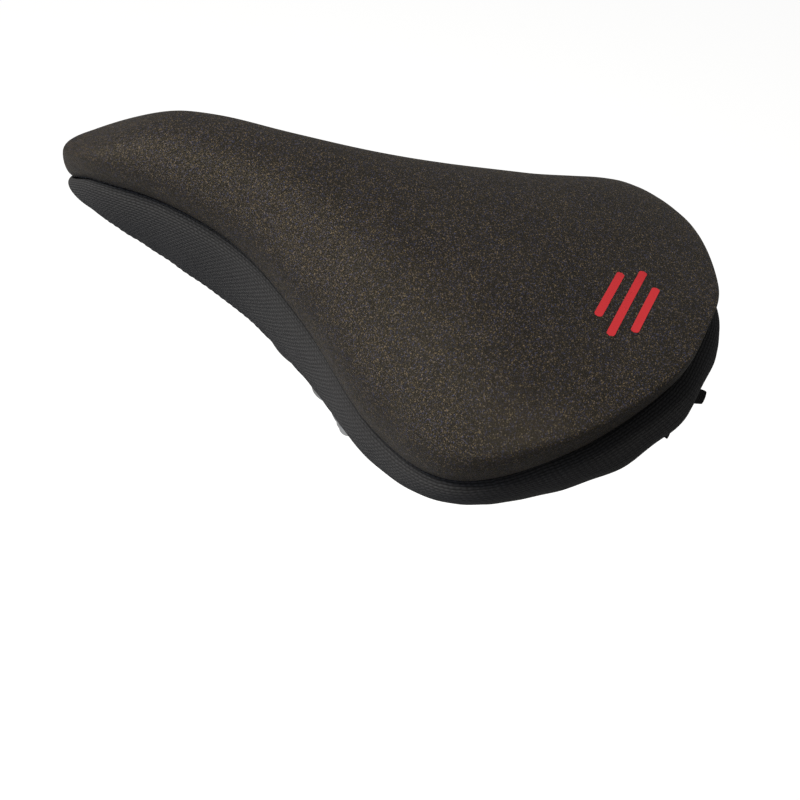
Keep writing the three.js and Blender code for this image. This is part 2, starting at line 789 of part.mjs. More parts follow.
const FINISHES = {
  cover: { color: 0x1d1b1b, roughness: 0.62, metalness: 0 },
  skirt: { color: 0x242425, roughness: 0.9, metalness: 0 },
  gel: { color: 0x7fa3b0, roughness: 0.35, metalness: 0 },
  lining: { color: 0x2b2b2e, roughness: 0.95, metalness: 0 },
  vinyl: { color: 0x18181a, roughness: 0.5, metalness: 0 },
  foam: { color: 0xc9b98a, roughness: 1, metalness: 0 },
  moulding: { color: 0x202124, roughness: 0.55, metalness: 0 },
  rail: { color: 0x2c2d30, roughness: 0.35, metalness: 0.8 },
  clip: { color: 0x8d9094, roughness: 0.35, metalness: 1 },
  zinc: { color: 0xb4b6b9, roughness: 0.3, metalness: 1 },
  cord: { color: 0x151516, roughness: 0.85, metalness: 0 },
  lock: { color: 0x1a1a1c, roughness: 0.4, metalness: 0 },
};

function piece(name, geometry, finish) {
  const mesh = new THREE.Mesh(geometry, new THREE.MeshStandardMaterial(FINISHES[finish]));
  mesh.name = name;
  return mesh;
}

function bothSides(name, geometry, finish) {
  return [
    piece(`${name}_left`, geometry, finish),
    piece(`${name}_right`, mirroredRight(geometry), finish),
  ];
}

function group(pieces) {
  const made = new THREE.Group();
  made.add(...pieces);
  return made;
}

const cover = group([
  piece('cover_top_panel', coverTopPanel(), 'cover'),
  piece('cover_skirt', coverSkirt(), 'skirt'),
  piece('gel_pad', gelPad(), 'gel'),
  piece('cover_lining', coverLining(), 'lining'),
  piece('elastic_drawcord', elasticDrawcord(), 'cord'),
]);

const cordLock = group([
  piece('cord_lock_body', cordLockBody(), 'lock'),
  piece('cord_lock_button', cordLockButton(), 'lock'),
  piece('cord_lock_spring', cordLockSpring(), 'zinc'),
]);

const saddle = group([
  piece('saddle_skin', saddleSkin(), 'vinyl'),
  piece('foam_pad', foamPad(), 'foam'),
  piece('saddle_base', saddleBase(), 'moulding'),
  ...bothSides('rail', railTube(RAIL_RADIUS), 'rail'),
]);

const postClip = group([
  piece('clip_band', clipBand(), 'clip'),
  piece('clamp_stud', clampStud(), 'zinc'),
  ...bothSides('inner_cheek', innerCheek(), 'clip'),
  ...bothSides('outer_cheek', outerCheek(), 'clip'),
  ...bothSides('clamp_washer', clampWasher(), 'zinc'),
  ...bothSides('clamp_nut', clampNut(), 'zinc'),
]);

export default group([cover, cordLock, saddle, postClip]);
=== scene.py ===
"""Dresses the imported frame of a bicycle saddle: its slip-on gel cover, its padding and base,
its rails, its post clip and the cover's cord lock. Metres, +X to the nose, +Z up the post."""

import math
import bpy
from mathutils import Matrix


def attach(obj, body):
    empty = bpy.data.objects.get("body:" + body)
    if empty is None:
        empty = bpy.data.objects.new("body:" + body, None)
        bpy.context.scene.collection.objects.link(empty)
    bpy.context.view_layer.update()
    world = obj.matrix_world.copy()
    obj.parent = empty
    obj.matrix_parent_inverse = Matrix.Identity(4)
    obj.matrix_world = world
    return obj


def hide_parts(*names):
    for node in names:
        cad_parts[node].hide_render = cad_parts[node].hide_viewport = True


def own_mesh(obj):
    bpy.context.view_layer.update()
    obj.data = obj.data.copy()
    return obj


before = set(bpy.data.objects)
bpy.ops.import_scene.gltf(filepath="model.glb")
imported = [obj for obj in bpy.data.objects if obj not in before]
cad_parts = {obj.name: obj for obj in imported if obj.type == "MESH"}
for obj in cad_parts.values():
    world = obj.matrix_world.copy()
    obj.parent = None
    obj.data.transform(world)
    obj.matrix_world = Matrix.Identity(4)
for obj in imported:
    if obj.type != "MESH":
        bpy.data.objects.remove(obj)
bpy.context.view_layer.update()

from types import SimpleNamespace

import bmesh
import bpy
from bpy.props import FloatProperty, FloatVectorProperty, PointerProperty
from mathutils import Matrix, Quaternion, Vector, noise

bl_info = {
    "name": "Bicycle saddle",
    "version": (1, 0, 0),
    "blender": (4, 5, 0),
    "location": "View3D > Sidebar > Saddle",
    "description": "Builds a padded bicycle saddle with its cover, rails and seat clip",
    "category": "Object",
}

# --- The saddle's shape -------------------------------------------------------------------

# The cover's seam line, from the rear centre to the nose tip, on the rider's left:
# distance from the post, half width, seam height, skirt depth, hem inset.
SEAM_STATIONS = (
    (-0.1505, 0.0000, 0.0910, 0.033, 0.0160),
    (-0.1470, 0.0340, 0.0885, 0.033, 0.0170),
    (-0.1250, 0.0800, 0.0825, 0.031, 0.0200),
    (-0.0910, 0.1040, 0.0720, 0.022, 0.0240),
    (-0.0500, 0.0855, 0.0640, 0.030, 0.0230),
    (-0.0020, 0.0510, 0.0730, 0.042, 0.0180),
    (0.0400, 0.0305, 0.0830, 0.044, 0.0120),
    (0.0810, 0.0230, 0.0875, 0.038, 0.0085),
    (0.1220, 0.0170, 0.0820, 0.024, 0.0090),
    (0.1450, 0.0000, 0.0685, 0.0135, 0.0190),
)

# Height of the cover's centre line at even steps from the rear to the nose.
CROWN_START = -0.130
CROWN_STEP = 0.045
CROWN_HEIGHTS = (0.1025, 0.108, 0.1115, 0.115, 0.1165, 0.1125, 0.096)
CROWN_POWER = 2.35

HUB_REAR = -0.091
HUB_NOSE = 0.096
HUB_SOFTNESS = 0.008

BULGE = 0.0048
BULGE_RISE = 0.010
SKIRT_BELLY = 0.002
REAR_BELLY = 0.019
REAR_SAG = -0.003
REAR_BELLY_START = -0.115
REAR_BELLY_LENGTH = 0.030
NOSE_BELLY = 0.006
NOSE_START = 0.118
NOSE_LENGTH = 0.027

FIT_GAP = 0.00035
BASE_INSET = 0.0075
BASE_WALL = 0.0024
BASE_DROP = 0.036
BASE_END_DROP = 0.026
BASE_MIDDLE = 0.005
BASE_END_START = 0.065
BASE_END_FULL = 0.130
BASE_RIM = 0.3
BASE_FOOT = 0.58
SKIN_WALL_INSET = 0.006
SKIN_FOLD = 0.45

# Faces of the padded layers, outer then inner: inset from the cover's side, drop under its
# crown, and sink of the shoulder between the two.
PANEL = ((0.0, 0.0, 0.0), (0.0012, 0.0012, 0.0012))
GEL = ((0.0015, 0.0015, 0.0015), (0.0035, 0.0095, 0.0035))
LINING = ((0.0038, 0.0098, 0.0038), (0.0045, 0.0105, 0.0045))
SKIN = ((0.0053, 0.0110, 0.0053), (0.0063, 0.0120, 0.0063))
FOAM_TOP = (0.0083, 0.0134, 0.0076)

SKIRT_THICKNESS = 0.0009
CHANNEL_PLACE = 0.92
CHANNEL_RADIUS = 0.0026
REAR_SWELL = 0.25

# The gap in the hem channel at the rear centre: its width, and the height it reaches up to.
HEM_OPENING = 0.015
HEM_OPENING_TOP = 0.0630

CORD_RADIUS = 0.00115
CORD_SPACING = 0.0017
KNOT_X = -0.0935
KNOT_RADIUS = 0.0026
CORD_ENTRY = 0.009

RAIL_RADIUS = 0.0035
RAIL_Y = 0.022
RAIL_Z = 0.027
RAIL_ROUTE = (
    (0.0840, 0.0070, 0.0680),
    (0.0770, 0.0072, 0.0635),
    (0.0660, 0.0080, 0.0575),
    (0.0540, 0.0095, 0.0505),
    (0.0420, 0.0120, 0.0432),
    (0.0310, 0.0160, 0.0356),
    (0.0210, 0.0202, 0.0292),
    (0.0120, RAIL_Y, RAIL_Z),
    (0.0040, RAIL_Y, RAIL_Z),
    (-0.0520, RAIL_Y, RAIL_Z),
    (-0.0600, RAIL_Y, RAIL_Z),
    (-0.0720, 0.0245, 0.0305),
    (-0.0860, 0.0300, 0.0410),
    (-0.0990, 0.0360, 0.0545),
    (-0.1100, 0.0410, 0.0680),
)

RAIL_GAP = 0.0004

# The base's stiffening ribs, and the lower and upper corners of its rail sockets.
RIB_DEPTH = 0.005
RIB_WIDTH = 0.0024
RIB_LINES = (-0.016, 0.016)
RIB_CROSSINGS = (-0.090, -0.048, -0.006)
RIB_ENDS = (-0.125, 0.052)
RIB_HALF_SPAN = 0.080
RIB_HEIGHTS = (0.040, 0.110)
RIB_STEP = 0.0005
RAIL_SOCKETS = {
    "nose_socket": ((0.074, -0.011, 0.058), (0.090, 0.011, 0.076)),
    "rear_socket_left": ((-0.119, 0.033, 0.057), (-0.100, 0.049, 0.0755)),
    "rear_socket_right": ((-0.119, -0.049, 0.057), (-0.100, -0.033, 0.0755)),
}
SKIN_WALL = 0.001

# The clip: its band about the post, its stud's place in X and Z, and its toothed joints.
BAND_BORE = 0.01115
BAND_RADIUS = 0.0138
BAND_HEIGHT = 0.028
BAND_SPLIT = 0.0024
CLAMP = (-0.021, 0.014)
EAR_RADIUS = 0.0125
EAR_FACE = 0.0054
EAR_OVERLAP = 0.002
TOOTH_TIP = 0.0124
TOOTH_HEIGHT = 0.0013
TOOTH_COUNT = 16
TOOTH_RADIUS = 0.012
CHEEK_TIP = 0.0127
TOOTH_BASE = 0.0016
CHEEK_RADIUS = 0.014
CHEEK_HALF_LENGTH = 0.017
CHEEK_TOP = 0.0335
CHEEK_CORNER = 0.003
JAW_FOOT = 0.021
RELIEF_RADIUS = 0.009
RELIEF_DEPTH = 0.005
OUTER_FACE = 0.028
PRESSED_DEPTH = 0.0007
PRESSED_HALF_LENGTH = 0.0135
PRESSED_HEIGHTS = (0.0255, 0.0312)
PRESSED_CORNER = 0.0018
STUD_RADIUS = 0.004
STUD_BORE = 0.0044
STUD_HALF = 0.041
SHANK_HALF = 0.0235
THREAD_DEPTH = 0.00045
WASHER_RADIUS = 0.0085
WASHER_THICKNESS = 0.0016
NUT_RADIUS = 0.0075
NUT_THICKNESS = 0.0065

# The cord lock: barrel, button and spring about an upright axis.
LOCK_X = -0.114
LOCK_Z = 0.050
LOCK_RADIUS = 0.007
LOCK_BORE = 0.0053
LOCK_TOP = 0.061
LOCK_FOOT = 0.044
LOCK_ROOF = 0.0016
WINDOW_HALF = 0.0034
WINDOW_RISE = 0.0017
BUTTON_RADIUS = 0.00495
BUTTON_FOOT = 0.040
BUTTON_TOP = 0.0532
BUTTON_TRAVEL = 0.0026
SLOT_HALF = 0.0033
SLOT_RISE = 0.0016
SPRING_RADIUS = 0.0034
SPRING_WIRE = 0.0004
SPRING_TURNS = 2.5
SPRING_START = 0.0539
SPRING_HEAD = 0.0587

# Sections made between one seam station and the next, for fine and for hidden pieces.
SECTION_STEPS = 20
HIDDEN_STEPS = 10
BASE_STEPS = 8

QUARTER = math.pi / 2
UP = Vector((0, 0, 1))


# --- Settings a user would change ---------------------------------------------------------

def length(name, description, default):
    return FloatProperty(name=name, description=description, default=default, unit="LENGTH",
                         min=0.0, precision=4)


def share(name, description, default):
    return FloatProperty(name=name, description=description, default=default, min=0.0,
                         max=1.0, subtype="FACTOR")


def colour(name, description, default):
    return FloatVectorProperty(name=name, description=description, default=default, size=3,
                               min=0.0, max=1.0, subtype="COLOR")


class CoverSettings(bpy.types.PropertyGroup):
    """Sizes of the slip-on cover."""

    gather: length("Gather", "Height of the gathers that the drawcord makes", 0.00025)
    puff: length("Puff", "How far the skirt swells out under its seam", 0.0022)
    rear_fold: length("Rear folds", "Height of the loose folds behind the saddle", 0.0007)
    stitch: length("Stitch pitch", "Distance from one stitch to the next", 0.0036)
    mark_length: length("Mark length", "Length of the middle printed bar", 0.050)
    mark_width: length("Mark width", "Width of each printed bar", 0.0034)
    mark_spacing: length("Mark spacing", "Distance between printed bars", 0.0078)


class ColourSettings(bpy.types.PropertyGroup):
    """Colours of the fabrics and plastics."""

    cover: colour("Cover", "Stretch fabric of the top panel", (0.0075, 0.0064, 0.0052))
    skirt: colour("Skirt", "Ribbed knit of the skirt", (0.0112, 0.0110, 0.0115))
    mark: colour("Mark", "Printed bars", (0.40, 0.012, 0.018))
    plastic: colour("Plastic", "Base and cord lock", (0.022, 0.022, 0.024))
    steel: colour("Steel", "Plated clip and fasteners", (0.56, 0.57, 0.59))


class ClipSettings(bpy.types.PropertyGroup):
    """Finish of the clip and its fasteners."""

    edge: length("Edge", "Rounding of the pressed parts' edges", 0.0003)
    pitch: length("Thread pitch", "Pitch of the stud's thread", 0.00125)


class StageSettings(bpy.types.PropertyGroup):
    """Camera and light of the studio."""

    lens: FloatProperty(name="Lens", description="Focal length of the camera in millimetres",
                        default=60.1, min=1.0)
    key: FloatProperty(name="Key", description="Power of the overhead softbox", default=22.0,
                       min=0.0, unit="POWER")
    fill: FloatProperty(name="Fill", description="Power of the cool side light", default=4.5,
                        min=0.0, unit="POWER")
    room: share("Room", "Brightness of the white room", 0.22)


# --- Curves and sections ------------------------------------------------------------------

def smoothstep(value, low, high):
    t = min(max((value - low) / (high - low), 0.0), 1.0)
    return t * t * (3 - 2 * t)


def mix(a, b, t):
    return a + (b - a) * t


def through_points(a, b, c, d, t):
    return 0.5 * (2 * b + (c - a) * t + (2 * a - 5 * b + 4 * c - d) * t * t
                  + (3 * b - a - 3 * c + d) * t ** 3)


def crown_height(x):
    last = len(CROWN_HEIGHTS) - 1
    spot = min(max((x - CROWN_START) / CROWN_STEP, 0.0), last - 1e-9)
    k = int(spot)
    heights = [CROWN_HEIGHTS[min(max(k + i, 0), last)] for i in (-1, 0, 1, 2)]
    return through_points(*heights, spot - k)


def soft_limit(x, low, high):
    def soft(d):
        return HUB_SOFTNESS * math.log1p(math.exp(d / HUB_SOFTNESS))
    return high - soft(high - (low + soft(x - low)))


def seam_sections(steps):
    """Upright sections of the saddle, each from the hub line out to the seam."""
    mirrored = [(x, -y, *rest) for x, y, *rest in reversed(SEAM_STATIONS[1:-1])]
    loop = [*SEAM_STATIONS, *mirrored]
    count = len(loop)
    made = []
    along = 0.0
    for i in range(count):
        four = [loop[(i + k) % count] for k in (-1, 0, 1, 2)]
        for j in range(steps):
            x, y, seam, depth, inset = (through_points(*values, j / steps)
                                        for values in zip(*four))
            hub = soft_limit(x, HUB_REAR, HUB_NOSE)
            reach = math.hypot(x - hub, y)
            rear = 1 - smoothstep(x, REAR_BELLY_START - REAR_BELLY_LENGTH, REAR_BELLY_START)
            nose = smoothstep(x, NOSE_START, NOSE_START + NOSE_LENGTH)
            point = Vector((x, y, seam))
            if made:
                along += (point - made[-1].point).length
            made.append(SimpleNamespace(
                point=point, seam=seam, depth=depth, inset=inset, hub=hub, reach=reach,
                out=Vector(((x - hub) / reach, y / reach, 0)),
                belly=SKIRT_BELLY + REAR_BELLY * rear + NOSE_BELLY * nose, rear=rear, nose=nose,
                along=along))
    for section in made:
        section.round = along + (made[0].point - made[-1].point).length
    return made


def place(section, reach, height):
    spot = section.out * reach
    return Vector((section.hub + spot.x, spot.y, height))


def bulge_point(section, angle, face):
    inset, _, sink = face
    reach = section.reach - inset + BULGE * math.sin(angle)
    return place(section, reach, section.seam + (BULGE_RISE - sink) * (1 - math.cos(angle)))


def dome_point(section, angle, reach, edge, centre):
    """A dome from an edge at this reach and height up to a centre line of its own."""
    cosine = max(math.cos(angle), 0.0)
    point = place(section, reach * cosine ** (2 / CROWN_POWER), 0)
    rise = math.sin(angle) ** (2 / CROWN_POWER)
    point.z = mix(edge, centre(point.x), rise)
    return point


def top_face(section, face, bulge_steps, crown_steps):
    inset, drop, sink = face
    edge = section.seam + BULGE_RISE - sink
    reach = section.reach + BULGE - inset
    bulge = [bulge_point(section, QUARTER * k / bulge_steps, face) for k in range(bulge_steps)]
    crown = [dome_point(section, QUARTER * k / crown_steps, reach, edge,
                        lambda x: crown_height(x) - drop) for k in range(crown_steps + 1)]
    return bulge + crown


def base_edge(section):
    return section.seam - BASE_RIM * section.depth


def base_foot(section):
    return section.seam - BASE_FOOT * section.depth


def base_height(x):
    end = smoothstep(abs(x - BASE_MIDDLE), BASE_END_START, BASE_END_FULL)
    return crown_height(x) - mix(BASE_DROP, BASE_END_DROP, end)


def base_surface(section, inset, down, steps):
    """A surface that follows the base's upper face, moved in by an inset and down a step."""
    return [dome_point(section, QUARTER * k / steps, section.reach - inset,
                       base_edge(section) - down, lambda x: base_height(x) - down)
            for k in range(steps + 1)]


def skirt_curve(section, t):
    """The skirt's fall from the seam at t = 0, curling under the saddle to t = 1."""
    s = 1 - t
    b1, b2, b3 = 3 * t * s * s, 3 * t * t * s, t ** 3
    sag = REAR_SAG * section.rear - 0.1 * section.inset
    out = b1 * section.belly + b2 * sag - b3 * section.inset
    down = -b1 * 0.4 * section.depth - b2 * section.depth - b3 * (section.depth - 0.001)
    return out, down


def skirt_point(section, t, under, lift=0.0):
    step = 1e-3
    r0, z0 = skirt_curve(section, t - step)
    r1, z1 = skirt_curve(section, t + step)
    size = math.hypot(r1 - r0, z1 - z0)
    r, z = skirt_curve(section, t)
    across = (z1 - z0) / size, -(r1 - r0) / size
    return (section.reach + r + across[0] * (under - lift),
            section.seam - FIT_GAP + z + across[1] * (under - lift))


def channel_point(section, angle, radius):
    """A point round the hem's cord channel; angle 0 lies on the skirt's outer face."""
    r, z = skirt_point(section, CHANNEL_PLACE, CHANNEL_RADIUS)
    outer_r, outer_z = skirt_point(section, CHANNEL_PLACE, 0)
    start = math.atan2(outer_z - z, outer_r - r)
    return place(section, r + radius * math.cos(start - angle),
                 z + radius * math.sin(start - angle))


def channel_centre(section):
    return place(section, *skirt_point(section, CHANNEL_PLACE, CHANNEL_RADIUS))


# --- Mesh helpers -------------------------------------------------------------------------

def new_piece(name, points, faces, corners=None):
    """A mesh object from points and faces, with the faces' UV corners if they are given."""
    mesh = bpy.data.meshes.new(name)
    mesh.from_pydata([tuple(p) for p in points], [], faces)
    if corners:
        layer = mesh.uv_layers.new(name="fabric")
        layer.data.foreach_set("uv", [value for uv in corners for value in uv])
    piece = bpy.data.objects.new(name, mesh)
    bpy.context.scene.collection.objects.link(piece)
    return piece


def join_seams(piece, distance=2e-5):
    """Merges doubled points, drops faces without area and turns every face outwards."""
    mesh = bmesh.new()
    mesh.from_mesh(piece.data)
    bmesh.ops.remove_doubles(mesh, verts=mesh.verts, dist=distance)
    bmesh.ops.dissolve_degenerate(mesh, edges=mesh.edges, dist=distance / 4)
    bmesh.ops.recalc_face_normals(mesh, faces=mesh.faces)
    for face in mesh.faces:
        face.smooth = True
    mesh.to_mesh(piece.data)
    mesh.free()
    return piece


def ring_piece(name, sections, rings, edge=0):
    """Skins one ring of section outlines. UV runs along the seam and across from the edge."""
    count, size = len(rings), len(rings[0])
    across = size - 1
    lengths = []
    for ring in rings:
        run = [0.0]
        for k in range(across):
            run.append(run[-1] + (ring[k + 1] - ring[k]).length)
        lengths.append([value - run[edge] for value in run])
    faces, corners = [], []
    for i in range(count):
        j = (i + 1) % count
        here = sections[i].along
        there = sections[j].along if j else sections[i].round
        for k in range(across):
            m = k + 1
            faces.append((i * size + k, j * size + k, j * size + m, i * size + m))
            corners += [(here, lengths[i][k]), (there, lengths[j][k]),
                        (there, lengths[j][k + 1]), (here, lengths[i][k + 1])]
    return new_piece(name, [p for ring in rings for p in ring], faces, corners)


def layer_piece(name, sections, outer, inner, bulge_steps, crown_steps):
    """A padded layer of the top, between an outer and an inner face."""
    rings = [top_face(s, outer, bulge_steps, crown_steps)[::-1]
             + top_face(s, inner, bulge_steps, crown_steps) for s in sections]
    return join_seams(ring_piece(name, sections, rings, edge=bulge_steps + crown_steps))


def sweep(name, points, radius, sides, closed=False):
    """A round tube along points, with UV running along it and around it."""
    count = len(points)
    tangents = []
    for i in range(count):
        before = points[i - 1] if i or closed else points[0]
        after = points[(i + 1) % count] if i < count - 1 or closed else points[-1]
        tangents.append((after - before).normalized())
    side = tangents[0].orthogonal().normalized()
    frames = []
    for i in range(count):
        if i:
            side = (tangents[i - 1].rotation_difference(tangents[i]) @ side).normalized()
        frames.append((side.copy(), tangents[i].cross(side).normalized()))
    twist = 0.0
    if closed:
        back = (tangents[-1].rotation_difference(tangents[0]) @ side).normalized()
        twist = math.atan2(back.dot(frames[0][1]), back.dot(frames[0][0]))
    rings, run = [], [0.0]
    for i, point in enumerate(points):
        a, b = frames[i]
        turn = -twist * i / count
        angles = [turn + 2 * math.pi * k / sides for k in range(sides)]
        rings.append([point + (a * math.cos(t) + b * math.sin(t)) * radius for t in angles])
        run.append(run[-1] + (points[(i + 1) % count] - point).length)
    faces, corners = [], []
    for i in range(count if closed else count - 1):
        j = (i + 1) % count
        for k in range(sides):
            m = (k + 1) % sides
            faces.append((i * sides + k, i * sides + m, j * sides + m, j * sides + k))
            corners += [(run[i], k / sides), (run[i], (k + 1) / sides),
                        (run[i + 1], (k + 1) / sides), (run[i + 1], k / sides)]
    if not closed:
        first = tuple(reversed(range(sides)))
        last = tuple((count - 1) * sides + k for k in range(sides))
        faces += [first, last]
        corners += [(0.0, 0.0)] * (2 * sides)
    return join_seams(new_piece(name, [p for ring in rings for p in ring], faces, corners), 1e-6)


def smooth_route(points, steps):
    """A smooth curve through points, with even care for long and short spans."""
    points = [Vector(p) for p in points]
    ends = [points[0] * 2 - points[1], *points, points[-1] * 2 - points[-2]]
    route = []
    for a, b, c, d in zip(ends, ends[1:], ends[2:], ends[3:]):
        g0, g1, g2 = ((q - p).length ** 0.5 for p, q in ((a, b), (b, c), (c, d)))
        t1 = ((b - a) / g0 - (c - a) / (g0 + g1) + (c - b) / g1) * g1
        t2 = ((c - b) / g1 - (d - b) / (g1 + g2) + (d - c) / g2) * g1
        for k in range(steps):
            t = k / steps
            route.append(b + t1 * t + (-3 * b + 3 * c - 2 * t1 - t2) * t * t
                         + (2 * b - 2 * c + t1 + t2) * t ** 3)
    return [*route, points[-1]]


def only(piece):
    """Makes this the one selected and active object."""
    bpy.ops.object.select_all(action="DESELECT")
    piece.select_set(True)
    bpy.context.view_layer.objects.active = piece
    return piece


def modified(piece, kind, **settings):
    """Adds a modifier and applies it at once."""
    only(piece)
    modifier = piece.modifiers.new(kind.title(), kind)
    for name, value in settings.items():
        setattr(modifier, name, value)
    bpy.ops.object.modifier_apply(modifier=modifier.name)
    return piece


def settle(name):
    """Names the new primitive and sets its place, turn and scale into its mesh."""
    piece = bpy.context.active_object
    piece.name = piece.data.name = name
    bpy.ops.object.transform_apply(location=True, rotation=True, scale=True)
    return piece


def cylinder(name, radius, low, high, axis="Z", centre=(0.0, 0.0), sides=64):
    """A round bar along X, Y or Z from one place to another, about the given centre line."""
    middle = (low + high) / 2
    a, b = centre
    spot = {"X": (middle, a, b), "Y": (a, middle, b), "Z": (a, b, middle)}[axis]
    turn = {"X": (0, QUARTER, 0), "Y": (QUARTER, 0, 0), "Z": (0, 0, 0)}[axis]
    bpy.ops.object.select_all(action="DESELECT")
    bpy.ops.mesh.primitive_cylinder_add(vertices=sides, radius=radius, depth=high - low,
                                        location=spot, rotation=turn)
    return settle(name)


def block(name, low, high):
    """A box between two corners."""
    low, high = Vector(low), Vector(high)
    bpy.ops.object.select_all(action="DESELECT")
    bpy.ops.mesh.primitive_cube_add(size=1, location=(low + high) / 2, scale=high - low)
    return settle(name)


def upright_edge(edge):
    a, b = (vertex.co for vertex in edge.verts)
    return abs(a.z - b.z) > 1e-4 and abs(a.x - b.x) + abs(a.y - b.y) < 1e-6


def bevel_edges(piece, test, width, segments=3):
    """Rounds the edges that the test picks."""
    only(piece)
    bpy.ops.object.mode_set(mode="EDIT")
    bpy.ops.mesh.select_mode(type="EDGE")
    bpy.ops.mesh.select_all(action="DESELECT")
    mesh = bmesh.from_edit_mesh(piece.data)
    for edge in mesh.edges:
        edge.select_set(test(edge))
    bmesh.update_edit_mesh(piece.data)
    bpy.ops.mesh.bevel(offset=width, segments=segments, affect="EDGES")
    bpy.ops.object.mode_set(mode="OBJECT")
    return piece


def rounded_window(name, half, low, high):
    """A cutter along X through the cord lock, with round corners."""
    window = block(name, (LOCK_X - 0.010, -half, low), (LOCK_X + 0.010, half, high))
    return bevel_edges(window, lambda edge: abs(edge.verts[0].co.x - edge.verts[1].co.x) > 1e-4,
                       0.0009, 4)


def shape(piece, operation, *others):
    """Joins, cuts or trims a piece with others, which are used up."""
    for other in others:
        modified(piece, "BOOLEAN", object=other, operation=operation, solver="EXACT")
        bpy.data.objects.remove(other)
    return piece


def smooth_by_angle(piece, degrees):
    only(piece)
    bpy.ops.object.shade_smooth_by_angle(angle=math.radians(degrees))
    return piece


def round_off(piece, width):
    """Rounds a hard piece's sharp edges a little."""
    modified(piece, "BEVEL", width=width, segments=2, limit_method="ANGLE",
             angle_limit=math.radians(32))
    return smooth_by_angle(piece, 32)


def wind(piece, axis, turns, rise, steps_per_turn):
    """Winds a small closed outline into a coil about its own origin, and closes its ends."""
    modified(piece, "SCREW", axis=axis, angle=2 * math.pi * turns, screw_offset=rise,
             steps=round(steps_per_turn * turns), render_steps=round(steps_per_turn * turns),
             iterations=1, use_normal_calculate=True)
    only(piece)
    bpy.ops.object.mode_set(mode="EDIT")
    bpy.ops.mesh.select_all(action="SELECT")
    bpy.ops.mesh.fill_holes(sides=0)
    bpy.ops.mesh.select_all(action="SELECT")
    bpy.ops.mesh.normals_make_consistent(inside=False)
    bpy.ops.object.mode_set(mode="OBJECT")
    return smooth_by_angle(piece, 50)


def toothed_ring(name, tip, back):
    """A ring of radial teeth round the stud, with their tips at one distance from the middle."""
    centre = (CLAMP[0], back, CLAMP[1])
    root = tip + math.copysign(TOOTH_HEIGHT, back - tip)
    wider = TOOTH_RADIUS / STUD_BORE
    bpy.ops.object.select_all(action="DESELECT")
    bpy.ops.mesh.primitive_circle_add(vertices=2 * TOOTH_COUNT, radius=STUD_BORE,
                                      fill_type="NOTHING", location=centre,
                                      rotation=(QUARTER, 0, 0))
    ring = settle(name)
    bpy.ops.object.mode_set(mode="EDIT")
    bpy.ops.mesh.select_mode(type="VERT")
    bpy.ops.mesh.select_all(action="SELECT")
    bpy.ops.mesh.extrude_edges_move()
    bpy.ops.transform.resize(value=(wider, 1, wider), center_override=centre)
    bpy.ops.mesh.select_all(action="SELECT")
    bpy.ops.mesh.extrude_region_move(TRANSFORM_OT_translate={"value": (0, root - back, 0)})
    bpy.ops.mesh.select_all(action="DESELECT")
    mesh = bmesh.from_edit_mesh(ring.data)
    for vertex in mesh.verts:
        turn = math.atan2(vertex.co.z - centre[2], vertex.co.x - centre[0])
        odd = round(turn * TOOTH_COUNT / math.pi) % 2
        vertex.select_set(odd == 1 and abs(vertex.co.y - root) < 1e-6)
    mesh.select_flush_mode()
    bmesh.update_edit_mesh(ring.data)
    bpy.ops.transform.translate(value=(0, tip - root, 0))
    bpy.ops.mesh.select_all(action="SELECT")
    bpy.ops.mesh.normals_make_consistent(inside=False)
    bpy.ops.object.mode_set(mode="OBJECT")
    return ring


def ride(piece, body, slot, material, *replaced):
    """Gives a finished piece its finish and its body, and hides the CAD nodes it stands for."""
    if material:
        piece.data.materials.clear()
        piece.data.materials.append(material)
    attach(piece, body)
    if replaced:
        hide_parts(*replaced)
    return piece


def mirrored(piece, name):
    """A copy of a piece on the rider's right, with its own mesh."""
    copy = piece.copy()
    copy.data = piece.data.copy()
    copy.name = copy.data.name = name
    bpy.context.scene.collection.objects.link(copy)
    copy.data.transform(Matrix.Diagonal((1, -1, 1, 1)))
    copy.data.flip_normals()
    return copy


# --- Materials ----------------------------------------------------------------------------

def node(tree, kind, inputs=(), **settings):
    """A shader node with its settings, and its inputs joined or set."""
    made = tree.nodes.new("ShaderNode" + kind)
    for name, value in settings.items():
        setattr(made, name, value)
    for name, value in dict(inputs).items():
        if isinstance(value, bpy.types.NodeSocket):
            tree.links.new(value, made.inputs[name])
        else:
            made.inputs[name].default_value = value
    return made


def maths(tree, operation, *values):
    return node(tree, "Math", enumerate(values), operation=operation).outputs[0]


def blended(tree, share_of_b, a, b):
    """Mixes two colours."""
    made = node(tree, "Mix", {0: share_of_b, 6: a, 7: b}, data_type="RGBA")
    return made.outputs[2]


def ranged(tree, value, low, high, to_low=0.0, to_high=1.0):
    inputs = {0: value, 1: low, 2: high, 3: to_low, 4: to_high}
    return node(tree, "MapRange", inputs, interpolation_type="SMOOTHSTEP").outputs[0]


def object_place(tree, scale):
    spot = node(tree, "TexCoord").outputs["Object"]
    return node(tree, "VectorMath", {0: spot, 1: scale}, operation="MULTIPLY").outputs[0]


def effect(name, inputs, outputs):
    """An empty shader effect with named inputs and outputs, made once."""
    tree = bpy.data.node_groups.new(name, "ShaderNodeTree")
    for socket, (kind, value) in inputs.items():
        made = tree.interface.new_socket(socket, in_out="INPUT", socket_type="NodeSocket" + kind)
        made.default_value = value
    for socket, kind in outputs.items():
        tree.interface.new_socket(socket, in_out="OUTPUT", socket_type="NodeSocket" + kind)
    return tree, tree.nodes.new("NodeGroupInput").outputs, tree.nodes.new("NodeGroupOutput")


def finish_effect(tree, out, values):
    for name, value in values.items():
        tree.links.new(value, out.inputs[name])
    return tree


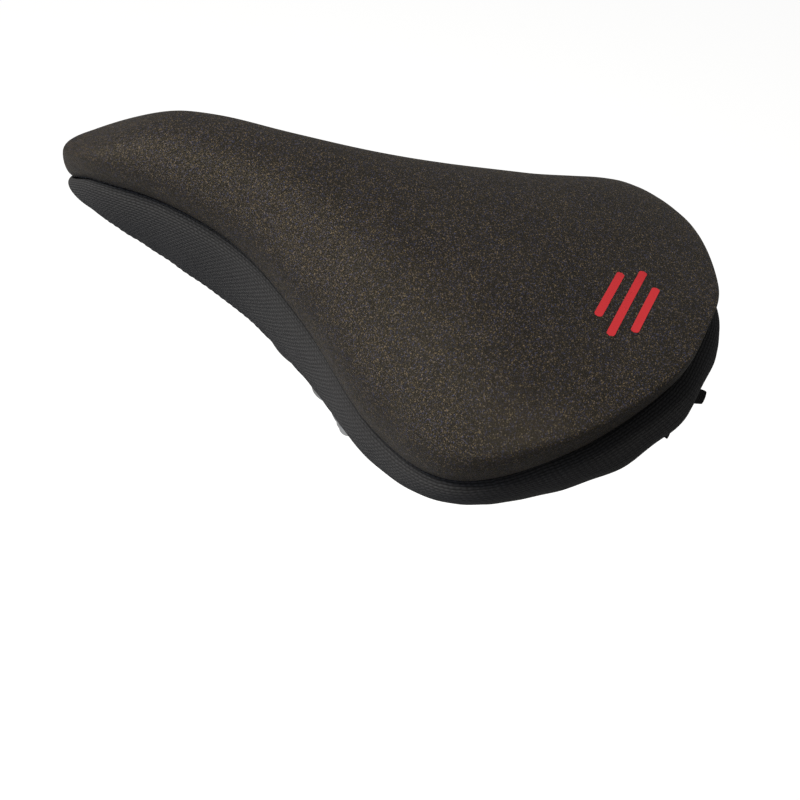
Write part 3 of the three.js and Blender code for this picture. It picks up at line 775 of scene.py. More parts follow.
def yarn_grain():
    """Short satin yarns, each with its own tone, and a few of them with a painted glint: a
    highlight painted into their colour.
    """
    tree, given, out = effect(
        "Yarn grain",
        {"Base": ("Color", (0.02, 0.02, 0.02, 1)), "Warm glint": ("Color", (0.1, 0.08, 0.05, 1)),
         "Cool glint": ("Color", (0.05, 0.05, 0.1, 1)), "Across": ("Float", 2000.0),
         "Along": ("Float", 900.0), "Glints": ("Float", 0.5), "Low gloss": ("Float", 0.6),
         "High gloss": ("Float", 0.4)},
        {"Colour": "Color", "Roughness": "Float", "Height": "Float"})
    scale = node(tree, "CombineXYZ", {0: given["Across"], 1: given["Along"],
                                      2: given["Across"]}).outputs[0]
    yarns = node(tree, "TexVoronoi", {"Vector": object_place(tree, scale), "Scale": 1.0,
                                      "Randomness": 1.0})
    parts = node(tree, "SeparateColor", {0: yarns.outputs["Color"]}).outputs
    # Painted glints: a few yarns are made much lighter in colour, warm or cool, as highlights
    # painted in.
    painted_glint_mask = maths(tree, "POWER", parts[0], 5.0)
    tint = blended(tree, ranged(tree, parts[1], 0.35, 0.65), given["Warm glint"],
                   given["Cool glint"])
    cloud = node(tree, "TexNoise", {"Vector": object_place(tree, (1, 1, 1)), "Scale": 38.0,
                                    "Detail": 3.0}).outputs["Fac"]
    dim = node(tree, "VectorMath", {0: given["Base"], 1: (0.72, 0.72, 0.75)},
               operation="MULTIPLY").outputs[0]
    ground = blended(tree, ranged(tree, cloud, 0.3, 0.7), dim, given["Base"])
    shaded = blended(tree, maths(tree, "MULTIPLY", painted_glint_mask, given["Glints"]), ground, tint)
    gloss = ranged(tree, parts[2], 0.0, 1.0, given["Low gloss"], given["High gloss"])
    height = maths(tree, "ADD", parts[1], maths(tree, "MULTIPLY",
                                                yarns.outputs["Distance"], -0.8))
    return finish_effect(tree, out, {"Colour": shaded, "Roughness": gloss, "Height": height})


def rib_knit():
    """Fine ribs along the seam, each broken into stitches that step from rib to rib, with painted
    shade in the valleys between them.
    """
    tree, given, out = effect(
        "Rib knit",
        {"Valley shade": ("Color", (0.01, 0.01, 0.01, 1)), "Rib": ("Color", (0.04, 0.04, 0.04, 1)),
         "Pitch": ("Float", 0.0013), "Stitch": ("Float", 0.0024), "Step": ("Float", 0.37)},
        {"Colour": "Color", "Height": "Float"})
    place_uv = node(tree, "SeparateXYZ",
                    {0: node(tree, "UVMap", uv_map="fabric").outputs[0]}).outputs
    wobble = node(tree, "TexNoise", {"Vector": object_place(tree, (1, 1, 1)), "Scale": 160.0,
                                     "Detail": 2.0}).outputs["Fac"]
    down = maths(tree, "ADD", maths(tree, "DIVIDE", place_uv[1], given["Pitch"]),
                 maths(tree, "MULTIPLY", wobble, 0.9))
    row = maths(tree, "FLOOR", down)
    rib = maths(tree, "SINE", maths(tree, "MULTIPLY", maths(tree, "FRACT", down), math.pi))
    run = maths(tree, "ADD", maths(tree, "DIVIDE", place_uv[0], given["Stitch"]),
                maths(tree, "MULTIPLY", row, given["Step"]))
    loop = maths(tree, "SINE", maths(tree, "MULTIPLY", maths(tree, "FRACT", run), math.pi))
    raised = maths(tree, "MULTIPLY", maths(tree, "POWER", rib, 0.7),
                   maths(tree, "ADD", maths(tree, "MULTIPLY", loop, 0.55), 0.45))
    fuzz = node(tree, "TexNoise", {"Vector": object_place(tree, (1, 1, 1)), "Scale": 2600.0,
                                   "Detail": 2.0}).outputs["Fac"]
    # Colour follows the ribs' height: painted shade in the valleys, painted light on the raised
    # ribs, with random fuzz in tone.
    shade = maths(tree, "MULTIPLY", raised, ranged(tree, fuzz, 0.25, 0.8, 0.45, 1.3))
    mixed = blended(tree, node(tree, "Clamp", {0: shade}).outputs[0], given["Valley shade"],
                    given["Rib"])
    return finish_effect(tree, out, {"Colour": mixed, "Height": raised})


def moulded_grain():
    """Fine spark-eroded grain of a moulding or a rolled vinyl, with rubbed patches."""
    tree, given, out = effect(
        "Moulded grain",
        {"Base": ("Color", (0.02, 0.02, 0.02, 1)), "Rubbed": ("Color", (0.05, 0.05, 0.05, 1)),
         "Scale": ("Float", 900.0), "Matt": ("Float", 0.6), "Gloss": ("Float", 0.4)},
        {"Colour": "Color", "Roughness": "Float", "Height": "Float"})
    spot = object_place(tree, (1, 1, 1))
    grain = node(tree, "TexVoronoi", {"Vector": spot, "Scale": given["Scale"]},
                 feature="SMOOTH_F1").outputs["Distance"]
    rub = node(tree, "TexNoise", {"Vector": spot, "Scale": 55.0, "Detail": 5.0,
                                  "Roughness": 0.65}).outputs["Fac"]
    worn = ranged(tree, rub, 0.52, 0.72)
    mixed = blended(tree, worn, given["Base"], given["Rubbed"])
    rough = ranged(tree, maths(tree, "ADD", worn, maths(tree, "MULTIPLY", grain, 0.2)), 0.0, 1.1,
                   given["Matt"], given["Gloss"])
    return finish_effect(tree, out, {"Colour": mixed, "Roughness": rough, "Height": grain})


def metal_wear():
    """Plated or coated metal: rolling marks one way, and dull blotches with dust."""
    tree, given, out = effect(
        "Metal wear",
        {"Base": ("Color", (0.5, 0.5, 0.5, 1)), "Dull": ("Color", (0.3, 0.3, 0.3, 1)),
         "Marks": ("Vector", (400.0, 3000.0, 3000.0)), "Matt": ("Float", 0.5),
         "Gloss": ("Float", 0.25)},
        {"Colour": "Color", "Roughness": "Float", "Height": "Float"})
    marks = node(tree, "TexNoise", {"Vector": object_place(tree, given["Marks"]), "Scale": 1.0,
                                    "Detail": 3.0}).outputs["Fac"]
    blotch = node(tree, "TexNoise", {"Vector": object_place(tree, (1, 1, 1)), "Scale": 120.0,
                                     "Detail": 6.0, "Roughness": 0.7}).outputs["Fac"]
    dull = ranged(tree, blotch, 0.45, 0.75)
    mixed = blended(tree, dull, given["Base"], given["Dull"])
    rough = ranged(tree, maths(tree, "ADD", marks, maths(tree, "MULTIPLY", dull, 0.6)), 0.3, 1.2,
                   given["Gloss"], given["Matt"])
    return finish_effect(tree, out, {"Colour": mixed, "Roughness": rough, "Height": marks})


def braid():
    """Two sets of strands wound round a cord, crossing over and under, with painted shade where
    they sink.
    """
    tree, given, out = effect(
        "Braid", {"Base": ("Color", (0.02, 0.02, 0.02, 1)), "Strand": ("Color", (0.05, 0.05,
                  0.05, 1)), "Turns": ("Float", 5.0), "Lay": ("Float", 0.0022)},
        {"Colour": "Color", "Height": "Float"})
    spot = node(tree, "SeparateXYZ",
                {0: node(tree, "UVMap", uv_map="fabric").outputs[0]}).outputs
    run = maths(tree, "DIVIDE", spot[0], given["Lay"])
    turn = maths(tree, "MULTIPLY", spot[1], given["Turns"])
    waves = [maths(tree, "SINE", maths(tree, "MULTIPLY", maths(tree, way, run, turn),
                                       2 * math.pi)) for way in ("ADD", "SUBTRACT")]
    height = maths(tree, "MAXIMUM", *waves)
    # Colour follows the strands' height: darker where they sink between each other, as painted
    # shade, lighter on top.
    mixed = blended(tree, ranged(tree, height, -0.2, 1.0), given["Base"], given["Strand"])
    return finish_effect(tree, out, {"Colour": mixed, "Height": height})


EFFECTS = {}


def rgba(values):
    return (*values, 1.0)


def scaled(values, factor):
    return tuple(min(value * factor, 1.0) for value in values)


def finish(name, effect_name, values, bump, colour_from=None, **shader):
    """A material of one Principled shader fed by one effect, with bump in metres."""
    material = bpy.data.materials.new(name)
    material.use_nodes = True
    tree = material.node_tree
    surface = tree.nodes["Principled BSDF"]
    group = tree.nodes.new("ShaderNodeGroup")
    group.node_tree = EFFECTS[effect_name]
    for socket, value in values.items():
        group.inputs[socket].default_value = value
    tree.links.new(group.outputs["Colour"], surface.inputs["Base Color"])
    if "Roughness" in group.outputs:
        tree.links.new(group.outputs["Roughness"], surface.inputs["Roughness"])
    relief = node(tree, "Bump", {"Height": group.outputs["Height"], "Distance": bump,
                                 "Strength": 1.0})
    tree.links.new(relief.outputs[0], surface.inputs["Normal"])
    for socket, value in shader.items():
        surface.inputs[socket.replace("_", " ")].default_value = value
    return material


def cover_finish(colours):
    # Its warm and cool glints are highlights painted into the satin's colour.
    return finish("cover_satin", "yarn_grain",
                  {"Base": rgba(colours.cover), "Warm glint": (0.30, 0.22, 0.13, 1),
                   "Cool glint": (0.08, 0.09, 0.19, 1), "Across": 3100.0, "Along": 1900.0,
                   "Glints": 0.40, "Low gloss": 0.6, "High gloss": 0.34},
                  0.00026, Specular_IOR_Level=0.27, Specular_Tint=(1.0, 0.9, 0.7, 1),
                  Sheen_Weight=0.03, Sheen_Roughness=0.35,
                  Sheen_Tint=(0.9, 0.82, 0.72, 1))


def skirt_finish(colours):
    # The valley and rib colours are the knit's painted shade and painted light, at 0.4 and 3.4
    # times the skirt colour.
    return finish("skirt_rib_knit", "rib_knit",
                  {"Valley shade": rgba(scaled(colours.skirt, 0.4)),
                   "Rib": rgba(scaled(colours.skirt, 3.4))},
                  0.0004, Roughness=0.8, Specular_IOR_Level=0.2, Sheen_Weight=0.06,
                  Sheen_Roughness=0.5, Sheen_Tint=(0.8, 0.8, 0.85, 1))


def print_finish(colours):
    return finish("transfer_print", "moulded_grain",
                  {"Base": rgba(colours.mark), "Rubbed": rgba(scaled(colours.mark, 0.86)),
                   "Scale": 1500.0, "Matt": 0.6, "Gloss": 0.45}, 0.00003)


def vinyl_finish():
    return finish("saddle_vinyl", "moulded_grain",
                  {"Base": (0.016, 0.016, 0.017, 1), "Rubbed": (0.03, 0.03, 0.031, 1),
                   "Scale": 620.0, "Matt": 0.6, "Gloss": 0.38}, 0.00022)


def plastic_finish(colours):
    return finish("base_moulding", "moulded_grain",
                  {"Base": rgba(colours.plastic), "Rubbed": rgba(scaled(colours.plastic, 1.8)),
                   "Scale": 1300.0, "Matt": 0.66, "Gloss": 0.42}, 0.00007)


def lock_finish(colours):
    return finish("lock_acetal", "moulded_grain",
                  {"Base": rgba(scaled(colours.plastic, 0.8)),
                   "Rubbed": rgba(scaled(colours.plastic, 1.5)),
                   "Scale": 1800.0, "Matt": 0.42, "Gloss": 0.25}, 0.00003)


def foam_finish():
    return finish("open_cell_foam", "moulded_grain",
                  {"Base": (0.60, 0.50, 0.28, 1), "Rubbed": (0.48, 0.36, 0.17, 1),
                   "Scale": 1100.0, "Matt": 0.95, "Gloss": 0.85}, 0.0004)


def lining_finish():
    # The lining's glints are highlights painted into its colour.
    return finish("brushed_lining", "yarn_grain",
                  {"Base": (0.045, 0.045, 0.05, 1), "Warm glint": (0.09, 0.09, 0.1, 1),
                   "Cool glint": (0.1, 0.1, 0.12, 1), "Across": 1800.0, "Along": 1500.0,
                   "Low gloss": 0.95, "High gloss": 0.85}, 0.0002, Sheen_Weight=0.5)


def gel_finish():
    return finish("blue_gel", "moulded_grain",
                  {"Base": (0.24, 0.42, 0.5, 1), "Rubbed": (0.3, 0.48, 0.56, 1),
                   "Scale": 160.0, "Matt": 0.3, "Gloss": 0.12}, 0.0001,
                  Subsurface_Weight=0.4, Subsurface_Scale=0.01)


def rail_finish():
    return finish("rail_coating", "metal_wear",
                  {"Base": (0.03, 0.03, 0.033, 1), "Dull": (0.055, 0.053, 0.05, 1),
                   "Marks": (500.0, 3500.0, 3500.0), "Matt": 0.5, "Gloss": 0.24}, 0.00002,
                  Metallic=0.6)


def steel_finish(colours, name, brightness, marks):
    return finish(name, "metal_wear",
                  {"Base": rgba(scaled(colours.steel, brightness)),
                   "Dull": rgba(scaled(colours.steel, brightness * 0.62)), "Marks": marks,
                   "Matt": 0.48, "Gloss": 0.2}, 0.00002, Metallic=1.0)


def cord_finish():
    # The base colour is painted shade between the strands; the strand colour is their lighter
    # tops.
    return finish("braided_cord", "braid",
                  {"Base": (0.008, 0.008, 0.008, 1), "Strand": (0.035, 0.035, 0.037, 1)},
                  0.00018, Roughness=0.8, Sheen_Weight=0.3)


def thread_finish():
    # The thread's glints are highlights painted into its colour.
    return finish("sewing_thread", "yarn_grain",
                  {"Base": (0.014, 0.014, 0.015, 1), "Warm glint": (0.04, 0.04, 0.04, 1),
                   "Cool glint": (0.04, 0.04, 0.05, 1), "Across": 6000.0, "Along": 6000.0,
                   "Glints": 0.4, "Low gloss": 0.6, "High gloss": 0.5}, 0.00004)


# --- Operators ----------------------------------------------------------------------------

class Step(bpy.types.Operator):
    """Shared part of the building steps."""

    bl_options = {"REGISTER", "UNDO"}
    bl_idname = "saddle.step"
    bl_label = "Step"

    def execute(self, context):
        scene = context.scene
        self.build(scene.saddle_cover, scene.saddle_colours, scene.saddle_stage,
                   scene.saddle_clip)
        return {"FINISHED"}


class SADDLE_OT_finishes(Step):
    """Makes the shared surface effects and the two steels that several pieces use"""

    bl_idname = "saddle.finishes"
    bl_label = "Shared finishes"

    PRESSED_MARKS = (900.0, 900.0, 4000.0)
    ZINC_MARKS = (2500.0, 600.0, 2500.0)

    def build(self, cover, colours, stage, clip):
        for maker in (yarn_grain, rib_knit, moulded_grain, metal_wear, braid):
            EFFECTS[maker.__name__] = maker()
        steel_finish(colours, "pressed_steel", 0.8, self.PRESSED_MARKS)
        steel_finish(colours, "bright_zinc", 1.05, self.ZINC_MARKS)


class SADDLE_OT_stage(Step):
    """Adds the camera, the soft studio light and the pale floor"""

    bl_idname = "saddle.stage"
    bl_label = "Stage"

    AIM = Vector((-0.0412, 0.0320, 0.0343))
    AZIMUTH = 198.317
    ELEVATION = 40.511
    ROLL = 8.246
    DISTANCE = 0.5833
    KEY_PLACE = (0.44, 0.44, 1.05)
    KEY_AIM = (0, 0, 0.09)
    KEY_SIZE = 0.6
    KEY_TINT = (1.0, 0.965, 0.87)
    FILL_PLACE = (0.75, 0.95, 0.30)
    FILL_AIM = (0, 0, 0.06)
    FILL_SIZE = 0.9
    FILL_TINT = (0.72, 0.80, 1.0)
    FLOOR_SIZE = 12.0
    FLOOR_DROP = 0.60
    PAPER_GLOW = 0.8

    def build(self, cover, colours, stage, clip):
        self.add_camera(stage)
        self.add_light("key_softbox", self.KEY_PLACE, self.KEY_AIM, self.KEY_SIZE, stage.key,
                       self.KEY_TINT)
        self.add_light("cool_fill", self.FILL_PLACE, self.FILL_AIM, self.FILL_SIZE, stage.fill,
                       self.FILL_TINT)
        self.add_floor()
        world = bpy.data.worlds.new("white_room")
        world.use_nodes = True
        background = world.node_tree.nodes["Background"]
        background.inputs["Color"].default_value = (1, 1, 1, 1)
        background.inputs["Strength"].default_value = stage.room
        bpy.context.scene.world = world
        bpy.context.scene.view_settings.view_transform = "Standard"

    def add_camera(self, stage):
        a, e = math.radians(self.AZIMUTH), math.radians(self.ELEVATION)
        back = Vector((math.sin(a) * math.cos(e), -math.cos(a) * math.cos(e), math.sin(e)))
        camera = bpy.data.objects.new("camera", bpy.data.cameras.new("camera"))
        camera.data.lens = stage.lens
        camera.location = self.AIM + back * self.DISTANCE
        camera.rotation_mode = "QUATERNION"
        roll = Quaternion((0, 0, 1), math.radians(self.ROLL))
        camera.rotation_quaternion = (-back).to_track_quat("-Z", "Y") @ roll
        camera.data.clip_start = 0.01
        bpy.context.scene.collection.objects.link(camera)
        bpy.context.scene.camera = camera

    def add_light(self, name, location, target, size, power, tint):
        light = bpy.data.lights.new(name, "AREA")
        light.shape = "DISK"
        light.size = size
        light.energy = power
        light.color = tint
        holder = bpy.data.objects.new(name, light)
        holder.location = location
        direction = Vector(target) - Vector(location)
        holder.rotation_mode = "QUATERNION"
        holder.rotation_quaternion = direction.to_track_quat("-Z", "Y")
        bpy.context.scene.collection.objects.link(holder)

    def add_floor(self):
        bpy.ops.object.select_all(action="DESELECT")
        bpy.ops.mesh.primitive_plane_add(size=self.FLOOR_SIZE,
                                         location=(0, 0, -self.FLOOR_DROP))
        floor = bpy.context.active_object
        floor.name = "floor"
        material = bpy.data.materials.new("floor_paper")
        material.use_nodes = True
        tree = material.node_tree
        surface = tree.nodes["Principled BSDF"]
        surface.inputs["Base Color"].default_value = (0.5, 0.5, 0.5, 1)
        surface.inputs["Roughness"].default_value = 0.9
        surface.inputs["Specular IOR Level"].default_value = 0.1
        surface.inputs["Emission Color"].default_value = (1, 1, 1, 1)
        # The paper is lit from behind, and the glow doesn't reach the saddle.
        seen = node(tree, "LightPath").outputs["Is Camera Ray"]
        tree.links.new(maths(tree, "MULTIPLY", seen, self.PAPER_GLOW),
                       surface.inputs["Emission Strength"])
        # Seen from below, the floor is clear.
        clear = node(tree, "BsdfTransparent").outputs[0]
        under = node(tree, "NewGeometry").outputs["Backfacing"]
        mixed = node(tree, "MixShader", {0: under, 1: surface.outputs[0], 2: clear})
        tree.links.new(mixed.outputs[0], tree.nodes["Material Output"].inputs["Surface"])
        floor.data.materials.append(material)


class SADDLE_OT_cover(Step):
    """Makes the cover's top panel, its gel pad and its lining"""

    bl_idname = "saddle.cover"
    bl_label = "Cover top"

    def build(self, cover, colours, stage, clip):
        sections = seam_sections(SECTION_STEPS)
        panel = layer_piece("top_panel", sections, *PANEL, 7, 18)
        ride(panel, "saddle", "cover_fabric", cover_finish(colours), "cover_top_panel")
        coarse = seam_sections(HIDDEN_STEPS)
        gel = layer_piece("gel_layer", coarse, *GEL, 4, 12)
        ride(gel, "saddle", "gel", gel_finish(), "gel_pad")
        lining = layer_piece("lining", coarse, *LINING, 4, 12)
        ride(lining, "saddle", "lining_fabric", lining_finish(), "cover_lining")


class SADDLE_OT_mark(Step):
    """Prints three generic bars on the rear of the top panel"""

    bl_idname = "saddle.mark"
    bl_label = "Printed bars"

    CENTRE = Vector((-0.122, 0.005))
    SHORT_SHARE = 0.68
    START_HEIGHT = 0.15
    INK_THICKNESS = 0.00012

    def build(self, cover, colours, stage, clip):
        panel = bpy.data.objects["top_panel"]
        bars = []
        for row in (-1, 0, 1):
            size = cover.mark_length * (1.0 if row == 0 else self.SHORT_SHARE)
            bars.append(self.add_bar(row * cover.mark_spacing, size, cover.mark_width))
        only(bars[0])
        for bar in bars:
            bar.select_set(True)
        bpy.ops.object.join()
        mark = bpy.context.active_object
        mark.name = mark.data.name = "printed_bars"
        bpy.ops.object.transform_apply(location=True, rotation=True, scale=True)
        modified(mark, "SHRINKWRAP", target=panel, wrap_method="PROJECT", use_project_z=True,
                 use_negative_direction=True, use_positive_direction=False, offset=0.0)
        modified(mark, "SOLIDIFY", thickness=self.INK_THICKNESS, offset=1.0)
        ride(mark, "saddle", "print_red", print_finish(colours))

    def add_bar(self, shift, size, width):
        """A strip of small squares whose two ends are rounded."""
        bpy.ops.object.select_all(action="DESELECT")
        bpy.ops.mesh.primitive_grid_add(x_subdivisions=8, y_subdivisions=72, size=1,
                                        location=(self.CENTRE.x + shift, self.CENTRE.y,
                                                  self.START_HEIGHT))
        bar = bpy.context.active_object
        half, end = width / 2, size / 2
        for vertex in bar.data.vertices:
            x, y = vertex.co.x * width, vertex.co.y * size
            straight = max(abs(y) - (end - half), 0.0)
            narrow = math.sqrt(max(1 - (straight / half) ** 2, 0.0))
            vertex.co = Vector((x * narrow, y, 0))
        bpy.ops.object.mode_set(mode="EDIT")
        bpy.ops.mesh.select_all(action="SELECT")
        bpy.ops.mesh.remove_doubles(threshold=1e-6)
        bpy.ops.object.mode_set(mode="OBJECT")
        return bar


class SADDLE_OT_skirt(Step):
    """Makes the skirt, with its gathers, its hem channel, its two tabs and the stitches"""

    bl_idname = "saddle.skirt"
    bl_label = "Cover skirt"

    ROWS = 18
    CHANNEL_ROWS = 11
    FALL = 0.80
    CHANNEL_WRAP = 1.25 * math.pi
    CREASE = -0.0011
    GATHERS = 46
    LOOSE_FOLDS = 24
    TAB_THICKNESS = 0.0014
    THREAD_RADIUS = 0.00024

    # The hem's two ends: place across the rear, free end, half width at the root and there.
    HEM_ENDS = {
        "hem_tab_right": (-0.0105, (-0.1625, -0.0165, 0.0535), 0.0085, 0.0030),
        "hem_tab_left": (0.0095, (-0.1545, 0.0085, 0.0490), 0.0050, 0.0030),
    }

    def build(self, cover, colours, stage, clip):
        sections = seam_sections(SECTION_STEPS)
        rings = [self.outline(section, cover) for section in sections]
        skirt = ring_piece("skirt", sections, rings)
        self.open_hem(skirt)
        join_seams(skirt)
        modified(skirt, "SOLIDIFY", thickness=SKIRT_THICKNESS, offset=-1.0)
        knit = skirt_finish(colours)
        ride(skirt, "saddle", "skirt_fabric", knit, "cover_skirt")
        for polygon in skirt.data.polygons:
            polygon.use_smooth = True
        tabs = [self.add_tab(name, self.tab_route(sections, y, tip), root_width, tip_width, knit)
                for name, (y, tip, root_width, tip_width) in self.HEM_ENDS.items()]
        stitches = self.add_stitches(sections, cover)

    def outline(self, section, cover):
        """The skirt's outer face from the seam, then round the hem channel."""
        points = []
        for k in range(self.ROWS):
            t = self.FALL * k / (self.ROWS - 1)
            reach, height = skirt_point(section, t, 0, self.fold(section, t, cover))
            points.append(place(section, reach, height))
        for k in range(self.CHANNEL_ROWS):
            angle = self.CHANNEL_WRAP * k / (self.CHANNEL_ROWS - 1)
            points.append(channel_point(section, angle, CHANNEL_RADIUS))
        return points

    def fold(self, section, t, cover):
        """How far the fabric stands out: gathers near the hem and looser folds behind."""
        turns = section.along / section.round
        wander = noise.noise(Vector((turns * 23.0, 1.7, 0.4)))
        gather = math.sin(2 * math.pi * (turns * self.GATHERS + 1.1 * wander))
        envelope = smoothstep(t, 0.30, 0.72) * (1 - 0.65 * smoothstep(t, 0.74, 0.92))
        amount = cover.gather * envelope * gather * (0.55 + 0.45 * section.rear)
        loose = math.sin(2 * math.pi * (turns * self.LOOSE_FOLDS + 0.31) + 3.2 * t)
        belly = smoothstep(t, 0.05, 0.45) * (1 - smoothstep(t, 0.62, 0.90))
        swell = smoothstep(t, 0.0, 0.17) * (1 - smoothstep(t, 0.25, 0.75))
        swell *= 1 - section.nose + REAR_SWELL * section.rear
        crease = self.CREASE * (1 - smoothstep(t, 0.0, 0.07))
        folds = cover.rear_fold * section.rear * loose * belly
        return amount + crease + cover.puff * swell + folds

    def open_hem(self, skirt):
        """Opens the hem channel at the rear centre, where the drawcord comes out."""
        mesh = bmesh.new()
        mesh.from_mesh(skirt.data)
        gone = []
        for face in mesh.faces:
            spot = face.calc_center_median()
            if spot.x < -0.12 and abs(spot.y) < HEM_OPENING / 2 and spot.z < HEM_OPENING_TOP:
                gone.append(face)
        bmesh.ops.delete(mesh, geom=gone, context="FACES")
        mesh.to_mesh(skirt.data)
        mesh.free()

    def tab_route(self, sections, y, tip):
        """From inside the hem channel, out round the skirt's lower edge, to a free end."""
        section = min(sections, key=lambda s: abs(s.point.y - y) + max(s.point.x, 0))
        start = channel_centre(section)
        edge = place(section, *skirt_point(section, 0.86, 0, 0.0006))
        end = Vector(tip)
        return start, edge, edge.lerp(end, 0.5) + Vector((0, 0, -0.0008)), end

    def add_tab(self, name, route, root_width, tip_width, material):
        """A flat end of the hem channel that stands out behind the saddle."""
        path = smooth_route(route, 8)
        count = len(path) - 1
        points = []
        for i, point in enumerate(path):
            t = i / count
            wide = mix(root_width, tip_width, t)
            for k in range(9):
                side = k / 4 - 1
                sag = -0.0012 * (1 - side * side) * (1 - t)
                points.append(point + Vector((0.0004 * side * side, -wide * side * 0.6,
                                              wide * side * 0.8 + sag)))
        faces, corners = [], []
        for i in range(count):
            for k in range(8):
                a = 9 * i + k
                faces.append((a, a + 1, a + 10, a + 9))
                corners += [(x * 0.0011, y * 0.0021) for x, y in
                            ((k, i), (k + 1, i), (k + 1, i + 1), (k, i + 1))]
        tab = join_seams(new_piece(name, points, faces, corners))
        modified(tab, "SOLIDIFY", thickness=self.TAB_THICKNESS, offset=0.0)
        modified(tab, "SUBSURF", levels=1)
        return ride(tab, "saddle", "skirt_fabric", material)

    def add_stitches(self, sections, cover):
        """Threads along the seam under the panel's edge, and along the hem channel."""
        thread = thread_finish()
        rows = {"seam_stitches": lambda s: place(s, s.reach + 0.0003, s.seam - 0.0001),
                "hem_stitches": lambda s: place(s, *skirt_point(
                    s, self.FALL, 0, self.fold(s, self.FALL, cover) - 0.00008))}
        made = []
        for name, spot in rows.items():
            line = [spot(section) for section in sections]
            row = stitch_row(name, line, cover.stitch, 0.62, self.THREAD_RADIUS)
            made.append(ride(row, "saddle", "cord_fabric", thread))
        return made


def stitch_row(name, line, pitch, filled, radius):
    """Short rounded threads along a closed line."""
    run = [0.0]
    for a, b in zip(line, [*line[1:], line[0]]):
        run.append(run[-1] + (b - a).length)
    count = int(run[-1] / pitch)
    points, faces = [], []

    def at(distance):
        distance %= run[-1]
        k = next(i for i in range(len(line)) if run[i + 1] >= distance)
        return line[k].lerp(line[(k + 1) % len(line)], (distance - run[k]) / (run[k + 1] - run[k]))

    sides = 6
    profile = ((-1.0, 0.25), (-0.8, 0.9), (0.0, 1.1), (0.8, 0.9), (1.0, 0.25))
    for i in range(count):
        middle = (i + 0.5) * run[-1] / count
        start, end = at(middle - pitch * filled / 2), at(middle + pitch * filled / 2)
        centre, along = (start + end) / 2, (end - start) / 2
        side = along.cross(UP).normalized()
        over = side.cross(along).normalized()
        first = len(points)
        for place_along, size in profile:
            for k in range(sides):
                turn = 2 * math.pi * k / sides
                points.append(centre + along * place_along + (
                    side * math.cos(turn) + over * math.sin(turn)) * radius * size)
        for ring in range(len(profile) - 1):
            for k in range(sides):
                a = first + ring * sides + k
                b = first + ring * sides + (k + 1) % sides
                faces.append((a, b, b + sides, a + sides))
        faces.append(tuple(first + k for k in reversed(range(sides))))
        faces.append(tuple(first + (len(profile) - 1) * sides + k for k in range(sides)))
    return join_seams(new_piece(name, points, faces), 1e-7)


class SADDLE_OT_body(Step):
    """Makes the padding inside the cover: the vinyl skin and the foam"""

    bl_idname = "saddle.body"
    bl_label = "Skin and foam"

    def build(self, cover, colours, stage, clip):
        sections = seam_sections(HIDDEN_STEPS)
        skin = join_seams(ring_piece("vinyl_skin", sections,
                                     [self.skin_outline(s) for s in sections], edge=18))
        ride(skin, "saddle", "saddle_vinyl", vinyl_finish(), "saddle_skin")
        rings = [top_face(s, FOAM_TOP, 2, 12)[::-1]
                 + base_surface(s, BASE_INSET - FIT_GAP, -FIT_GAP, 12) for s in sections]
        foam = join_seams(ring_piece("foam_block", sections, rings, edge=14))
        ride(foam, "saddle", "foam", foam_finish(), "foam_pad")

    def skin_outline(self, section):
        outer_face, inner_face = SKIN
        wall = inner_face[0] - outer_face[0]
        low = base_foot(section) - FIT_GAP
        outer = section.reach - SKIN_WALL_INSET
        inner = section.reach - BASE_INSET - BASE_WALL - FIT_GAP
        fold_top = low + SKIN_FOLD * (base_edge(section) - BASE_WALL - low)
        return [
            *top_face(section, outer_face, 2, 14)[::-1],
            place(section, outer, low - wall * 0.3),
            place(section, outer - wall * 0.4, low - wall),
            place(section, inner - wall * 0.6, low - wall),
            place(section, inner - wall, low - wall * 0.3),
            place(section, inner - wall, fold_top),
            place(section, inner, fold_top),
            place(section, inner, low),
            place(section, outer - wall, low),
            *top_face(section, inner_face, 2, 14),
        ]


